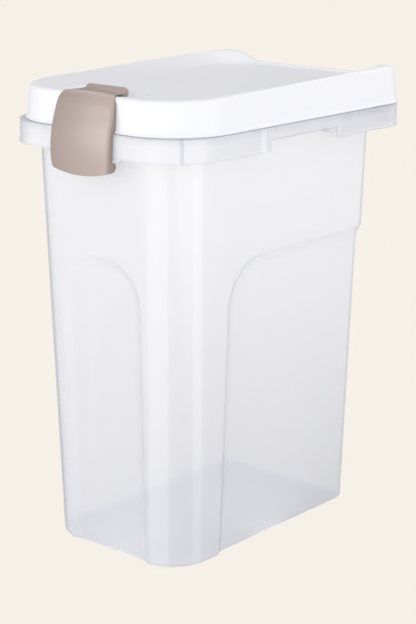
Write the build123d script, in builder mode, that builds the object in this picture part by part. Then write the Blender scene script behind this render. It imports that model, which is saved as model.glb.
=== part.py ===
from build123d import *
import os
from math import atan2, cos, degrees, radians, sin, sqrt, tan

# Pet food storage bin: a tapered translucent tub with a moulded collar, a hinged lid and a front latch.
# Millimetres. X runs across the bin, Y from its front (-) to its back (+), Z up. The origin is the middle
# of the tub's foot, on the surface that the bin stands on.

# Tub walls
base_width = 169.4
base_depth = 266.2
wall_draft = 1.53
tub_wall = 2.0
floor_thickness = 2.6
foot_radius = 4.5
front_corner_radius = 44.0
rear_corner_radius = 16.0
mouth_rise = 14.5

# Sunk panels low in the walls: an arch in front, and one that runs round the sides and the back
recess_depth = 4.5
cove_run = 12.0
arch_width = 98.6
arch_top = 286.5
arch_crown = 2.0
arch_corner_radius = 40.0
side_recess_front = 66.0
side_recess_slant = 6.0
side_recess_top = 284.0
side_recess_corner_radius = 46.0

# Collar round the top of the tub, and how far its outer faces stand out past the tub's foot
collar_top = 402.5
collar_height = 21.0
collar_side_reach = 28.2
collar_front_reach = 23.0
collar_rear_reach = 37.6
collar_wall = 1.8
collar_front_radius = 51.0
collar_rear_radius = 23.0
collar_lip = 0.8
collar_lip_height = 2.2
collar_edge_radius = 1.2
apron_width = 82.0
apron_drop = 2.3

# Hand grips in the collar's long sides, their end webs and the framed panels behind them
grip_length = 96.0
grip_rise = 10.0
web_thickness = 1.8
web_rise = 4.0
corner_web_angle = 42.0
panel_length = 75.0
panel_setback = 27.7
panel_spacing = 8.0
panel_margin = 3.2
panel_sink = 0.6

# Lid, and where its skirt stands from the collar's outer faces
lid_gap = 1.2
lid_side_inset = 1.8
lid_front_inset = 2.8
lid_rear_reach = 2.2
lid_front_radius = 59.0
lid_rear_radius = 23.0
lid_wall = 2.2
lid_front_rise = 30.0
lid_rear_rise = 36.3
lid_draw_in = 4.5
lid_edge_radius = 4.5
lid_lip = 0.9
lid_lip_height = 1.8

# Sunk panel in the lid's top: level in front of the crease, sloping down behind it between two cheeks
flat_start = 10.3
flat_drop = 0.2
crease_back = 105.3
crease_inset = 55.1
flat_inset = 66.1
cheek_inset = 7.0
panel_rear_inset = 23.1
panel_rear_drop = 14.0
rear_rim_width = 8.0
panel_corner_radius = 28.0
saddle_inset = 52.1
saddle_shoulder = 37.0
saddle_drop = 11.5

# Finger dish in the lid behind the latch
dish_width = 88.0
dish_length = 36.0
dish_depth = 5.5
dish_slope = 9.0
dish_corner_radius = 16.0
dish_setback = 9.0

# Seal pushed on a rib under the lid
seal_width = 6.0
seal_height = 5.5
seal_base = 2.0
seal_gap = 0.3
rib_thickness = 2.0
fit_clearance = 0.05

# Lid hinge, one at each side of the back
hinge_side_inset = 42.9
hinge_inset = 4.7
hinge_drop = 10.5
knuckle_radius = 4.6
knuckle_width = 12.0
knuckle_arm = 6.6
knuckle_overlap = 8.0
hinge_lug_radius = 4.4
hinge_lug_thickness = 4.0
hinge_side_gap = 0.5
hinge_pin_radius = 2.0
running_clearance = 0.08
notch_clearance = 1.8

# Latch
latch_half_width = 35.8
latch_top_taper = 2.6
latch_foot_taper = 1.6
latch_foot_sag = 4.0
latch_shell = 2.6
latch_cheek = 2.8
latch_gap = 0.6
latch_belly_proud = 10.4
latch_belly_rise = 18.0
latch_brow_proud = 6.4
latch_brow_drop = 17.7
latch_crest_setback = 3.6
latch_foot_proud = 3.0
latch_foot_depth = 9.0
latch_edge_radius = 1.2
barrel_radius = 5.0
barrel_gap = 0.8
pivot_proud = 0.9
latch_lug_spread = 22.0
latch_lug_thickness = 4.0
latch_lug_radius = 4.4
latch_slot_gap = 0.6
latch_strap_rise = 7.0
latch_pin_radius = 1.6
latch_pin_recess = 0.5
lip_reach = 26.5
lip_thickness = 2.4
bead_radius = 5.1
bead_half_length = 24.0
bead_gap = 0.5

# How far cutting shapes run past what they cut
over = 5.0

# Levels and faces that follow from the sizes above
lean = tan(radians(wall_draft))
mouth_top = collar_top + mouth_rise
collar_bottom = collar_top - collar_height
flange_under = collar_top - collar_wall
collar_front = -base_depth / 2 - collar_front_reach
collar_back = base_depth / 2 + collar_rear_reach
collar_side = base_width / 2 + collar_side_reach
collar_width = 2 * collar_side
collar_depth = collar_back - collar_front
collar_setback = (collar_front + collar_back) / 2
apron_bottom = collar_bottom - apron_drop
panel_rear = collar_back - panel_setback
panel_front = panel_rear - panel_length
grip_rear = panel_front - panel_spacing
grip_front = grip_rear - grip_length
lid_bottom = collar_top + lid_gap
lid_width = collar_width - 2 * lid_side_inset
lid_front = collar_front + lid_front_inset
lid_back = collar_back + lid_rear_reach
lid_depth = lid_back - lid_front
lid_setback = (lid_front + lid_back) / 2
lid_front_top = lid_bottom + lid_front_rise
lid_peak = lid_bottom + lid_rear_rise
lid_pitch = degrees(atan2(lid_rear_rise - lid_front_rise, lid_depth))
hinge_spread = collar_side - hinge_side_inset
hinge_y = collar_back - hinge_inset
hinge_z = collar_top - hinge_drop
pivot_y = collar_front - pivot_proud
pivot_z = apron_bottom - barrel_gap - barrel_radius
flat_level = lid_front_top + flat_drop
crease_y = lid_front + crease_back


def plan(width, depth, front_radius, rear_radius, centre=0.0):
    """A rectangle seen from above, with one radius at its front corners and one at its rear corners."""
    with BuildSketch() as shape:
        with Locations((0, centre)):
            Rectangle(width, depth)
        fillet(shape.vertices().group_by(Axis.Y)[0], front_radius)
        fillet(shape.vertices().group_by(Axis.Y)[-1], rear_radius)
    return shape.sketch


def tub_plan(height, inset):
    """The tub's wall at a height, moved inwards by inset."""
    growth = 2 * (lean * height - inset)
    return plan(
        base_width + growth, base_depth + growth, front_corner_radius - inset, rear_corner_radius - inset
    )


def collar_plan(inset):
    return plan(
        collar_width - 2 * inset,
        collar_depth - 2 * inset,
        collar_front_radius - inset,
        collar_rear_radius - inset,
        collar_setback,
    )


def lid_plan(height, inset):
    """The lid's skirt at a height, moved inwards by inset: the skirt draws in towards its top."""
    drawn = inset + lid_draw_in * (height - lid_bottom) / lid_rear_rise
    return plan(
        lid_width - 2 * drawn,
        lid_depth - 2 * drawn,
        lid_front_radius - drawn,
        lid_rear_radius - drawn,
        lid_setback,
    )


def ring(outline, low, high, outer_inset, inner_inset):
    """A band between two insets of an outline, from one level to another."""
    with BuildPart() as band:
        with BuildSketch(Plane.XY.offset(low)):
            add(outline(outer_inset))
            add(outline(inner_inset), mode=Mode.SUBTRACT)
        extrude(amount=high - low)
    return band.part


def tapered_body(inset, low, high, edge_radius):
    """The solid inside the tub's walls moved in by inset, with a rounded foot edge."""
    with BuildPart() as body:
        with BuildSketch(Plane.XY.offset(low)):
            add(tub_plan(low, inset))
        with BuildSketch(Plane.XY.offset(high)):
            add(tub_plan(high, inset))
        loft(ruled=True)
        fillet(body.edges().group_by(Axis.Z)[0], edge_radius)
    return body.part


# Wall planes: u runs along the wall, v up it, and the normal points out of the tub
front_wall = Plane(
    origin=(0, -base_depth / 2, 0),
    x_dir=(1, 0, 0),
    z_dir=(0, -cos(radians(wall_draft)), -sin(radians(wall_draft))),
)
right_wall = Plane(
    origin=(base_width / 2, 0, 0),
    x_dir=(0, 1, 0),
    z_dir=(cos(radians(wall_draft)), 0, -sin(radians(wall_draft))),
)
rear_wall = Plane(
    origin=(0, base_depth / 2, 0),
    x_dir=(-1, 0, 0),
    z_dir=(0, cos(radians(wall_draft)), -sin(radians(wall_draft))),
)


def arch_outline(growth):
    half = arch_width / 2 + growth
    shoulder = arch_top - arch_crown + growth
    with BuildSketch() as shape:
        with BuildLine():
            Line((-half, -over), (-half, shoulder))
            ThreePointArc((-half, shoulder), (0, arch_top + growth), (half, shoulder))
            Line((half, shoulder), (half, -over))
            Line((half, -over), (-half, -over))
        make_face()
        fillet(shape.vertices().group_by(Axis.Y)[-1], arch_corner_radius + growth)
    return shape.sketch


def side_outline(growth):
    top = side_recess_top + growth
    front_top = -side_recess_front - growth
    front_foot = front_top - side_recess_slant
    with BuildSketch() as shape:
        with BuildLine():
            Polyline(
                (front_foot, -over), (front_top, top), (base_depth, top), (base_depth, -over), close=True
            )
        make_face()
        corner = shape.vertices().group_by(Axis.Y)[-1].sort_by(Axis.X)[0]
        fillet(corner, side_recess_corner_radius + growth)
    return shape.sketch


def rear_outline(growth):
    top = side_recess_top + growth
    with BuildSketch() as shape:
        with Locations((0, (top - over) / 2)):
            Rectangle(2 * base_width, top + over)
    return shape.sketch


def recess_cutter(wall, outline, sunk):
    """The space outside a sunk panel. Its edges slope inwards, and it reaches past the panel's floor."""
    slope = cove_run / recess_depth
    reach = recess_depth * 2
    with BuildPart() as cutter:
        with BuildSketch(wall.offset(over / 2 - sunk)):
            add(outline(slope * over / 2))
        with BuildSketch(wall.offset(-reach - sunk)):
            add(outline(-slope * reach))
        loft(ruled=True)
    return cutter.part


def tub_solid(inset, low, high, edge_radius):
    """The tub's outer form with its sunk panels, or the form of its inside when inset is the wall."""
    side = recess_cutter(right_wall, side_outline, inset)
    with BuildPart() as body:
        add(tapered_body(inset, low, high, edge_radius))
        add(recess_cutter(front_wall, arch_outline, inset), mode=Mode.SUBTRACT)
        add(recess_cutter(rear_wall, rear_outline, inset), mode=Mode.SUBTRACT)
        add(side, mode=Mode.SUBTRACT)
        add(side.mirror(Plane.YZ), mode=Mode.SUBTRACT)
        add(tapered_body(inset + recess_depth, low, high, edge_radius))
    return body.part


def lug(centre_x, thickness, pivot, radius, strap):
    """A plate across X: a round eye about the pivot and a strap of (y, z) corners that carries it."""
    with BuildPart() as plate:
        with BuildSketch(Plane.YZ.offset(centre_x - thickness / 2)):
            with BuildLine():
                Polyline(*strap, close=True)
            make_face()
            with Locations(pivot):
                Circle(radius)
        extrude(amount=thickness)
    return plate.part


def pin_along_x(centre_x, length, pivot, radius):
    with BuildPart() as pin:
        with BuildSketch(Plane.YZ.offset(centre_x - length / 2)):
            with Locations(pivot):
                Circle(radius)
        extrude(amount=length)
    return pin.part


# Straps of the lugs: from the eye up to the flange, between the collar's skirt and the tub's wall
tub_front_at_collar = -base_depth / 2 - lean * collar_bottom
latch_strap = [
    (pivot_y, pivot_z + latch_lug_radius / 2),
    (collar_front + collar_wall / 2, collar_bottom),
    (collar_front + collar_wall / 2, flange_under),
    (tub_front_at_collar, flange_under),
    (tub_front_at_collar, collar_bottom + latch_strap_rise),
    (pivot_y + latch_lug_radius, pivot_z),
]
hinge_strap = [
    (hinge_y - hinge_lug_radius, hinge_z),
    (hinge_y - hinge_lug_radius, flange_under),
    (collar_back - collar_wall / 2, flange_under),
    (collar_back - collar_wall / 2, hinge_z),
]
hinge_lug_offset = knuckle_width / 2 + hinge_side_gap + hinge_lug_thickness / 2
web_length = collar_side - base_width / 2 - lean * collar_bottom

with BuildPart() as tub:
    add(tub_solid(0, 0, mouth_top, foot_radius))
    # Collar: flange, skirt and outward lip
    add(ring(collar_plan, collar_bottom, collar_top, 0, collar_wall))
    with BuildSketch(Plane.XY.offset(flange_under)):
        add(collar_plan(0))
    extrude(amount=collar_wall)
    flange = tub.faces().filter_by_position(
        Axis.Z, collar_top - collar_wall / 2, collar_top + collar_wall / 2
    )
    fillet(flange[0].outer_wire().edges(), collar_edge_radius)
    add(ring(collar_plan, collar_bottom, collar_bottom + collar_lip_height, -collar_lip, collar_wall))
    # Apron: the skirt hangs a little lower behind the latch
    with Locations((0, collar_front + collar_wall / 2, collar_bottom)):
        Box(apron_width, collar_wall, 2 * apron_drop)
    # Hand grips
    for side in (-1, 1):
        with Locations((side * collar_side, grip_front + grip_length / 2, collar_bottom)):
            Box(2 * (collar_wall + collar_lip), grip_length, 2 * grip_rise, mode=Mode.SUBTRACT)
        # End webs of the grip, from the wall out to the skirt
        for web_y, web_foot in (
            (grip_front - web_thickness / 2, collar_bottom),
            (grip_rear + web_thickness / 2, collar_bottom + web_rise),
        ):
            with Locations((side * (collar_side - web_length / 2), web_y, (web_foot + collar_top) / 2)):
                Box(web_length, web_thickness, collar_top - web_foot)
        # Web across the front corner
        corner_x = collar_side - collar_front_radius
        corner_y = collar_front + collar_front_radius
        turn = -corner_web_angle if side > 0 else 180 + corner_web_angle
        with Locations(Location((side * corner_x, corner_y, collar_top - collar_wall), (0, 0, turn))):
            Box(
                collar_front_radius - collar_wall / 2,
                web_thickness,
                collar_height - 2 * web_rise,
                align=(Align.MIN, Align.CENTER, Align.MAX),
            )
        # Framed panel sunk in the skirt behind the grip
        panel_mid = (panel_front + panel_rear) / 2
        with Locations((side * collar_side, panel_mid, collar_bottom + collar_height / 2)):
            Box(
                2 * panel_sink,
                panel_rear - panel_front,
                collar_height - 2 * panel_margin,
                mode=Mode.SUBTRACT,
            )
        # Lugs of the latch and of the lid's hinge, and the notch that the hinge knuckle swings through
        latch_lug_x = side * latch_lug_spread
        add(lug(latch_lug_x, latch_lug_thickness, (pivot_y, pivot_z), latch_lug_radius, latch_strap))
        for offset in (-hinge_lug_offset, hinge_lug_offset):
            centre_x = side * hinge_spread + offset
            add(lug(centre_x, hinge_lug_thickness, (hinge_y, hinge_z), hinge_lug_radius, hinge_strap))
        with Locations((side * hinge_spread, hinge_y - knuckle_radius - hinge_side_gap, collar_top + over)):
            Box(
                knuckle_width + 2 * hinge_side_gap,
                hinge_inset + knuckle_radius + over,
                hinge_drop + knuckle_radius + notch_clearance + over,
                align=(Align.CENTER, Align.MIN, Align.MAX),
                mode=Mode.SUBTRACT,
            )
        # Holes that grip the pins
        add(
            pin_along_x(
                side * hinge_spread, 2 * hinge_lug_offset + 2 * over, (hinge_y, hinge_z), hinge_pin_radius
            ),
            mode=Mode.SUBTRACT,
        )
    add(
        pin_along_x(0, 2 * latch_lug_spread + 2 * over, (pivot_y, pivot_z), latch_pin_radius),
        mode=Mode.SUBTRACT,
    )
    add(
        tub_solid(tub_wall, floor_thickness, mouth_top + over, foot_radius - tub_wall),
        mode=Mode.SUBTRACT,
    )
tub.part.label = "tub"


def half_space_cut(points_inside, planes, size):
    """A block cut back by planes, each kept on the side that its normal points away from."""
    with BuildPart() as block:
        with Locations(points_inside):
            Box(size, size, size)
        for plane in planes:
            split(bisect_by=plane, keep=Keep.BOTTOM)
    return block.part


def plane_through(a, b, c):
    """The plane through three points, its normal by the right-hand rule."""
    first = Vector(*b) - Vector(*a)
    second = Vector(*c) - Vector(*a)
    return Plane(origin=a, x_dir=first, z_dir=first.cross(second))


def rim_level(y):
    """Height of the lid's sloping rim plane."""
    return lid_front_top + (lid_rear_rise - lid_front_rise) * (y - lid_front) / lid_depth


crease_half_width = lid_width / 2 - crease_inset
flat_half_width = lid_width / 2 - flat_inset
rim_half_width = lid_width / 2 - cheek_inset
panel_rear_half_width = lid_width / 2 - panel_rear_inset
saddle_half_width = lid_width / 2 - saddle_inset
panel_rear_level = lid_peak - panel_rear_drop
flat_front_y = lid_front + flat_start


def lid_cutter(drop):
    """The space above the lid's sunk top, moved down by drop to give the underside."""
    crease = (crease_half_width, crease_y, flat_level - drop)
    flat_corner = (flat_half_width, flat_front_y, flat_level - drop)
    crease_rim = (rim_half_width, crease_y, rim_level(crease_y) - drop)
    rear_foot = (panel_rear_half_width, lid_back, panel_rear_level - drop)
    rear_rim = (rim_half_width, lid_back, lid_peak - drop)
    rear_edge = lid_back - lid_draw_in - rear_rim_width

    def mirrored(point):
        return (-point[0], point[1], point[2])

    level_floor = Plane(origin=(0, 0, flat_level - drop), z_dir=(0, 0, -1))
    flat_sides = [
        plane_through(flat_corner, crease, crease_rim),
        plane_through(mirrored(flat_corner), mirrored(crease_rim), mirrored(crease)),
    ]
    slope_floor = plane_through(crease, mirrored(rear_foot), rear_foot)
    slope_sides = [
        plane_through(crease, rear_foot, rear_rim),
        plane_through(mirrored(crease), mirrored(rear_rim), mirrored(rear_foot)),
    ]
    block_centre = (0, (crease_y + lid_back) / 2, lid_peak)
    with BuildPart() as space:
        # Behind the crease
        add(half_space_cut(block_centre, [slope_floor] + slope_sides, 2 * lid_depth))
        with BuildSketch(Plane.XY.offset(flat_level - lid_depth / 2)):
            add(
                plan(
                    2 * rim_half_width,
                    rear_edge - crease_y,
                    lid_edge_radius,
                    panel_corner_radius,
                    (rear_edge + crease_y) / 2,
                )
            )
        extrude(amount=lid_depth, mode=Mode.INTERSECT)
    with BuildPart() as level:
        # In front of the crease
        add(half_space_cut(block_centre, [level_floor] + flat_sides, 2 * lid_depth))
        with BuildSketch(Plane.XY.offset(flat_level - lid_depth / 2)):
            with Locations((0, (flat_front_y + crease_y) / 2)):
                Rectangle(2 * rim_half_width, crease_y - flat_front_y)
        extrude(amount=lid_depth, mode=Mode.INTERSECT)
    saddle_floor = lid_peak - saddle_drop - drop
    shoulder = saddle_half_width + saddle_shoulder
    with BuildPart() as saddle:
        with BuildSketch(Plane.XZ.offset(-lid_back - over)):
            with BuildLine():
                Line((-saddle_half_width, saddle_floor), (saddle_half_width, saddle_floor))
                Spline(
                    (saddle_half_width, saddle_floor),
                    (shoulder, lid_peak - drop),
                    tangents=((1, 0), (1, 0)),
                )
                Polyline(
                    (shoulder, lid_peak - drop),
                    (shoulder, lid_peak + over),
                    (-shoulder, lid_peak + over),
                    (-shoulder, lid_peak - drop),
                )
                Spline(
                    (-shoulder, lid_peak - drop),
                    (-saddle_half_width, saddle_floor),
                    tangents=((1, 0), (1, 0)),
                )
            make_face()
        extrude(amount=rear_rim_width + lid_draw_in + panel_corner_radius + over)
    # The dish's walls slope on past the lid's surface
    dish_y = lid_front + dish_setback + dish_length / 2
    spread = dish_slope * over / dish_depth
    with BuildPart() as dish:
        with BuildSketch(Plane.XY.offset(flat_level + over - drop)):
            with Locations((0, dish_y)):
                RectangleRounded(
                    dish_width + 2 * spread, dish_length + 2 * spread, dish_corner_radius + spread
                )
        with BuildSketch(Plane.XY.offset(flat_level - dish_depth - drop)):
            with Locations((0, dish_y)):
                RectangleRounded(
                    dish_width - 2 * dish_slope,
                    dish_length - 2 * dish_slope,
                    dish_corner_radius - dish_slope,
                )
        loft(ruled=True)
    return space.part + level.part + saddle.part + dish.part


def lid_form(inset, low, drop, edge_radius):
    """The lid's outer form without its sunk top, or the form of its inside."""
    rim_plane = Plane(
        origin=(0, lid_front, lid_front_top - drop),
        z_dir=(0, -sin(radians(lid_pitch)), cos(radians(lid_pitch))),
    )
    with BuildPart() as form:
        with BuildSketch(Plane.XY.offset(low)):
            add(lid_plan(low, inset))
        with BuildSketch(Plane.XY.offset(lid_peak + over)):
            add(lid_plan(lid_peak + over, inset))
        loft(ruled=True)
        split(bisect_by=rim_plane, keep=Keep.BOTTOM)
        fillet(form.faces().sort_by(Axis.Z)[-1].edges(), edge_radius)
    return form.part


def lid_foot_plan(inset):
    return lid_plan(lid_bottom, inset)


def mouth_plan(inset):
    """The middle of the tub's mouth wall, moved inwards by inset."""
    return tub_plan(mouth_top, tub_wall / 2 + inset)


seal_bottom = mouth_top + seal_gap
rib_bottom = seal_bottom + seal_base + fit_clearance
knuckle_back = hinge_y + knuckle_radius
knuckle_strap = [
    (knuckle_back - knuckle_arm, hinge_z),
    (knuckle_back - knuckle_arm, lid_bottom + knuckle_overlap),
    (lid_back - lid_wall, lid_bottom + knuckle_overlap),
    (lid_back - lid_wall / 2, lid_bottom),
    (knuckle_back, lid_bottom),
    (knuckle_back, hinge_z),
]

with BuildPart() as lid:
    add(lid_form(0, lid_bottom, 0, lid_edge_radius))
    add(ring(lid_foot_plan, lid_bottom, lid_bottom + lid_lip_height, -lid_lip, lid_wall))
    hollow = lid_form(lid_wall, lid_bottom - over, lid_wall, lid_edge_radius - lid_wall / 2)
    rib = ring(mouth_plan, rib_bottom, lid_peak, -rib_thickness / 2, rib_thickness / 2)
    add(hollow - lid_cutter(lid_wall) - rib, mode=Mode.SUBTRACT)
    add(lid_cutter(0), mode=Mode.SUBTRACT)
    for side in (-1, 1):
        add(lug(side * hinge_spread, knuckle_width, (hinge_y, hinge_z), knuckle_radius, knuckle_strap))
        add(
            pin_along_x(
                side * hinge_spread,
                knuckle_width + over,
                (hinge_y, hinge_z),
                hinge_pin_radius + running_clearance,
            ),
            mode=Mode.SUBTRACT,
        )
lid.part.label = "lid"

with BuildPart() as lid_seal:
    half_seal = seal_width / 2
    half_slot = rib_thickness / 2 + fit_clearance
    add(ring(mouth_plan, seal_bottom, seal_bottom + seal_height, -half_seal, half_seal))
    add(
        ring(mouth_plan, seal_bottom + seal_base, seal_bottom + seal_height + over, -half_slot, half_slot),
        mode=Mode.SUBTRACT,
    )
lid_seal.part.label = "lid_seal"

# Latch: side view of the clip, its face in front and its open side towards the bin
latch_top_half_width = latch_half_width - latch_top_taper
latch_foot_half_width = latch_half_width - latch_foot_taper
foot_level = pivot_z - latch_foot_depth
face_foot = (pivot_y - barrel_radius - latch_foot_proud, foot_level - latch_foot_sag)
face_belly = (lid_front - latch_belly_proud, collar_bottom + latch_belly_rise)
face_brow = (lid_front - latch_brow_proud, lid_front_top - latch_brow_drop)
plate_under = lid_front_top + latch_gap
plate_top = plate_under + lip_thickness
face_crest = (lid_front + latch_crest_setback, plate_top)
lid_lean = lid_draw_in / lid_rear_rise
edge_bottom = lid_front_top - lid_edge_radius
skirt_at_edge = lid_front + lid_lean * (edge_bottom - lid_bottom)
edge_centre_y = skirt_at_edge + lid_edge_radius * sqrt(1 + lid_lean**2)
edge_reach = (lid_edge_radius + latch_gap) / sqrt(2)
cheek_back = collar_front - collar_lip - latch_gap
lip_front = lid_front - lid_lip - latch_gap
bead_y = lid_front + lip_reach
bead_z = flat_level - dish_depth + bead_gap + bead_radius
barrel_top = pivot_z + barrel_radius
slot_width = latch_lug_thickness + 2 * latch_slot_gap
slot_radius = barrel_radius + barrel_gap + latch_slot_gap / 2
pin_left = -latch_foot_half_width + latch_pin_recess
pin_right = latch_foot_half_width - latch_cheek
pin_length = pin_right - pin_left


def face_line():
    """The latch's face from its foot to its brow and on to its crest."""
    with BuildLine() as line:
        lower = ThreePointArc(face_foot, face_belly, face_brow)
        TangentArc(face_brow, face_crest, tangent=lower % 1)
    return line.line


with BuildPart() as latch:
    with BuildSketch(Plane.YZ.offset(-latch_half_width)):
        with BuildLine():
            add(face_line())
            Polyline(face_crest, (edge_centre_y, plate_top), (edge_centre_y, plate_under))
            ThreePointArc(
                (edge_centre_y, plate_under),
                (edge_centre_y - edge_reach, edge_bottom + edge_reach),
                (edge_centre_y - lid_edge_radius - latch_gap, edge_bottom),
            )
            Polyline(
                (edge_centre_y - lid_edge_radius - latch_gap, edge_bottom),
                (lid_front - latch_gap, lid_bottom + lid_lip_height + latch_gap),
                (lip_front, lid_bottom + lid_lip_height + latch_gap),
                (lip_front, collar_top + latch_gap),
                (cheek_back, collar_top + latch_gap),
                (cheek_back, barrel_top),
                (pivot_y, barrel_top),
                (pivot_y, face_foot[1]),
                face_foot,
            )
        make_face()
        with Locations((pivot_y, pivot_z)):
            Circle(barrel_radius)
    extrude(amount=2 * latch_half_width)
    # Front view of the clip: a barrel outline with a sagging foot
    with BuildSketch(Plane.XZ):
        middle = (foot_level + plate_top) / 2
        foot_corner = foot_level + latch_foot_sag
        with BuildLine():
            ThreePointArc(
                (-latch_top_half_width, plate_top),
                (-latch_half_width, middle),
                (-latch_foot_half_width, foot_corner),
            )
            ThreePointArc(
                (-latch_foot_half_width, foot_corner),
                (0, foot_level),
                (latch_foot_half_width, foot_corner),
            )
            ThreePointArc(
                (latch_foot_half_width, foot_corner),
                (latch_half_width, middle),
                (latch_top_half_width, plate_top),
            )
            Line((latch_top_half_width, plate_top), (-latch_top_half_width, plate_top))
        make_face()
    extrude(amount=lid_depth, both=True, mode=Mode.INTERSECT)
    # Lip over the lid, narrower towards the grip bead
    with BuildSketch(Plane.XY.offset(plate_under)):
        with BuildLine():
            Polyline(
                (-latch_top_half_width, face_crest[0]),
                (latch_top_half_width, face_crest[0]),
                (bead_half_length, bead_y),
                (-bead_half_length, bead_y),
                close=True,
            )
        make_face()
    extrude(amount=lip_thickness)
    # Hollow between the cheeks, behind the face and over the barrel
    hollow_half = latch_top_half_width - latch_cheek
    hollow_top = lid_front_top - latch_shell
    with BuildSketch(Plane.YZ.offset(-hollow_half)):
        with BuildLine():
            add(face_line().moved(Location((latch_shell, 0, 0))))
            Polyline(
                (face_crest[0] + latch_shell, face_crest[1]),
                (bead_y, face_crest[1]),
                (bead_y, face_foot[1]),
                (face_foot[0] + latch_shell, face_foot[1]),
            )
        make_face()
        with Locations((0, (barrel_top + barrel_gap + hollow_top) / 2)):
            Rectangle(2 * lid_depth, hollow_top - barrel_top - barrel_gap, mode=Mode.INTERSECT)
    extrude(amount=2 * hollow_half, mode=Mode.SUBTRACT)
    # Grip bead, and rounded edges down the two sides of the face
    add(pin_along_x(0, 2 * bead_half_length, (bead_y, bead_z), bead_radius))
    face_edges = latch.faces().sort_by(Axis.Y)[0].edges()
    fillet(face_edges.filter_by(lambda edge: abs(edge.center().X) > hollow_half), latch_edge_radius)
    # Slots for the lugs, open below so that the clip swings down past them, and the bore for the pin
    for side in (-1, 1):
        slot_x = side * latch_lug_spread
        add(
            pin_along_x(slot_x, slot_width, (pivot_y, pivot_z), slot_radius),
            mode=Mode.SUBTRACT,
        )
        with Locations((slot_x, pivot_y - slot_radius, pivot_z)):
            Box(
                slot_width,
                2 * slot_radius,
                latch_foot_depth + over,
                align=(Align.CENTER, Align.MIN, Align.MAX),
                mode=Mode.SUBTRACT,
            )
    add(
        pin_along_x(
            (pin_left + pin_right - over) / 2,
            pin_length + over + 2 * running_clearance,
            (pivot_y, pivot_z),
            latch_pin_radius + running_clearance,
        ),
        mode=Mode.SUBTRACT,
    )
latch.part.label = "latch"

with BuildPart() as latch_pin:
    add(pin_along_x((pin_left + pin_right) / 2, pin_length, (pivot_y, pivot_z), latch_pin_radius))
latch_pin.part.label = "latch_pin"

hinge_pin_length = 2 * hinge_lug_offset + hinge_lug_thickness
with BuildPart() as hinge_pin_left:
    add(pin_along_x(-hinge_spread, hinge_pin_length, (hinge_y, hinge_z), hinge_pin_radius))
hinge_pin_left.part.label = "hinge_pin_left"

with BuildPart() as hinge_pin_right:
    add(pin_along_x(hinge_spread, hinge_pin_length, (hinge_y, hinge_z), hinge_pin_radius))
hinge_pin_right.part.label = "hinge_pin_right"

os.makedirs("parts", exist_ok=True)
export_step(tub.part, "parts/tub.step")
export_step(lid.part, "parts/lid.step")
export_step(lid_seal.part, "parts/lid_seal.step")
export_step(latch.part, "parts/latch.step")
export_step(latch_pin.part, "parts/latch_pin.step")
export_step(hinge_pin_left.part, "parts/hinge_pin_left.step")
export_step(hinge_pin_right.part, "parts/hinge_pin_right.step")
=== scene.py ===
"""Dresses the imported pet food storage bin: its mouldings, seal, pins and finishes, the light and the camera."""

import logging
from dataclasses import dataclass
from enum import Enum
from math import atan2, cos, pi, radians, sin, tan
from typing import Any, Callable, Optional, Sequence

import bpy
import numpy as np
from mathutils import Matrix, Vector


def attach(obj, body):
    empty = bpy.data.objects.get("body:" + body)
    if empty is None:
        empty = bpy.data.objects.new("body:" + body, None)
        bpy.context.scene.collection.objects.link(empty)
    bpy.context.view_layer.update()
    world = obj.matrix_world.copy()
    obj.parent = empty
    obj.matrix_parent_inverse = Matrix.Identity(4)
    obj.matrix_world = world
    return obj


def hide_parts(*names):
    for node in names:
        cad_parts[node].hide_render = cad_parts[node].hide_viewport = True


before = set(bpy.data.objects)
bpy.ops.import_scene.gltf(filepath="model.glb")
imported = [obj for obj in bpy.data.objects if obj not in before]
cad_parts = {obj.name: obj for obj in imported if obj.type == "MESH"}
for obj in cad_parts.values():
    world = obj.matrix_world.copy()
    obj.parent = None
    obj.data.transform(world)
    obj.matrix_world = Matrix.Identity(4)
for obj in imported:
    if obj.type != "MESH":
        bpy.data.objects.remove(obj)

MM = 0.001
TAU = 2 * pi
QUARTER = pi / 2
# The bin in millimetres, its front towards -Y: the hinge's y and z, and how far its pins' middles are from
# the bin's middle; the latch pivot's y and z; how far the corner webs turn from X; the walls' lean.
HINGE = (166.0, 392.0)
HINGE_SPREAD = 70.0
LATCH_PIVOT = (-157.0, 373.4)
WEB_TURN = radians(42.0)
LEAN = tan(radians(1.53))
log = logging.getLogger("bin")
Grid = np.ndarray
Place = Sequence[float]


# ---------------------------------------------------------------- small maths


def mix(a: Any, b: Any, share: Any) -> Any:
    """The number that lies a share of the way from one number to another."""
    return a + (b - a) * share


def ease(t: Grid) -> Grid:
    """Zero below 0, one above 1, and the cubic 3t^2 - 2t^3 between them."""
    t = np.clip(t, 0, 1)
    return t * t * (3 - 2 * t)


def smooth_min(a: Grid, b: Grid, blend: float) -> Grid:
    """The lower of two heights, rounded where they cross by a quadratic over the width blend."""
    share = np.clip(blend - np.abs(a - b), 0, None) / blend
    return np.minimum(a, b) - share**2 * blend / 4


def smooth_max(a: Grid, b: Grid, blend: float) -> Grid:
    """The higher of two heights, rounded where they cross."""
    return -smooth_min(-a, -b, blend)


def corner_inside(past_x: Grid, past_y: Grid, radius: float) -> Grid:
    """Depth inside a rounded corner, from how far a point is past its centre: radius less the distance."""
    outside = np.hypot(np.maximum(past_x, 0), np.maximum(past_y, 0))
    return radius - outside - np.minimum(np.maximum(past_x, past_y), 0)


def rounded_inside(x: Grid, y: Grid, half_x: Grid, half_y: Grid, radius: float) -> Grid:
    """Depth inside a rounded rectangle about the origin, positive inside."""
    return corner_inside(np.abs(x) - (half_x - radius), np.abs(y) - (half_y - radius), radius)


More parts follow.
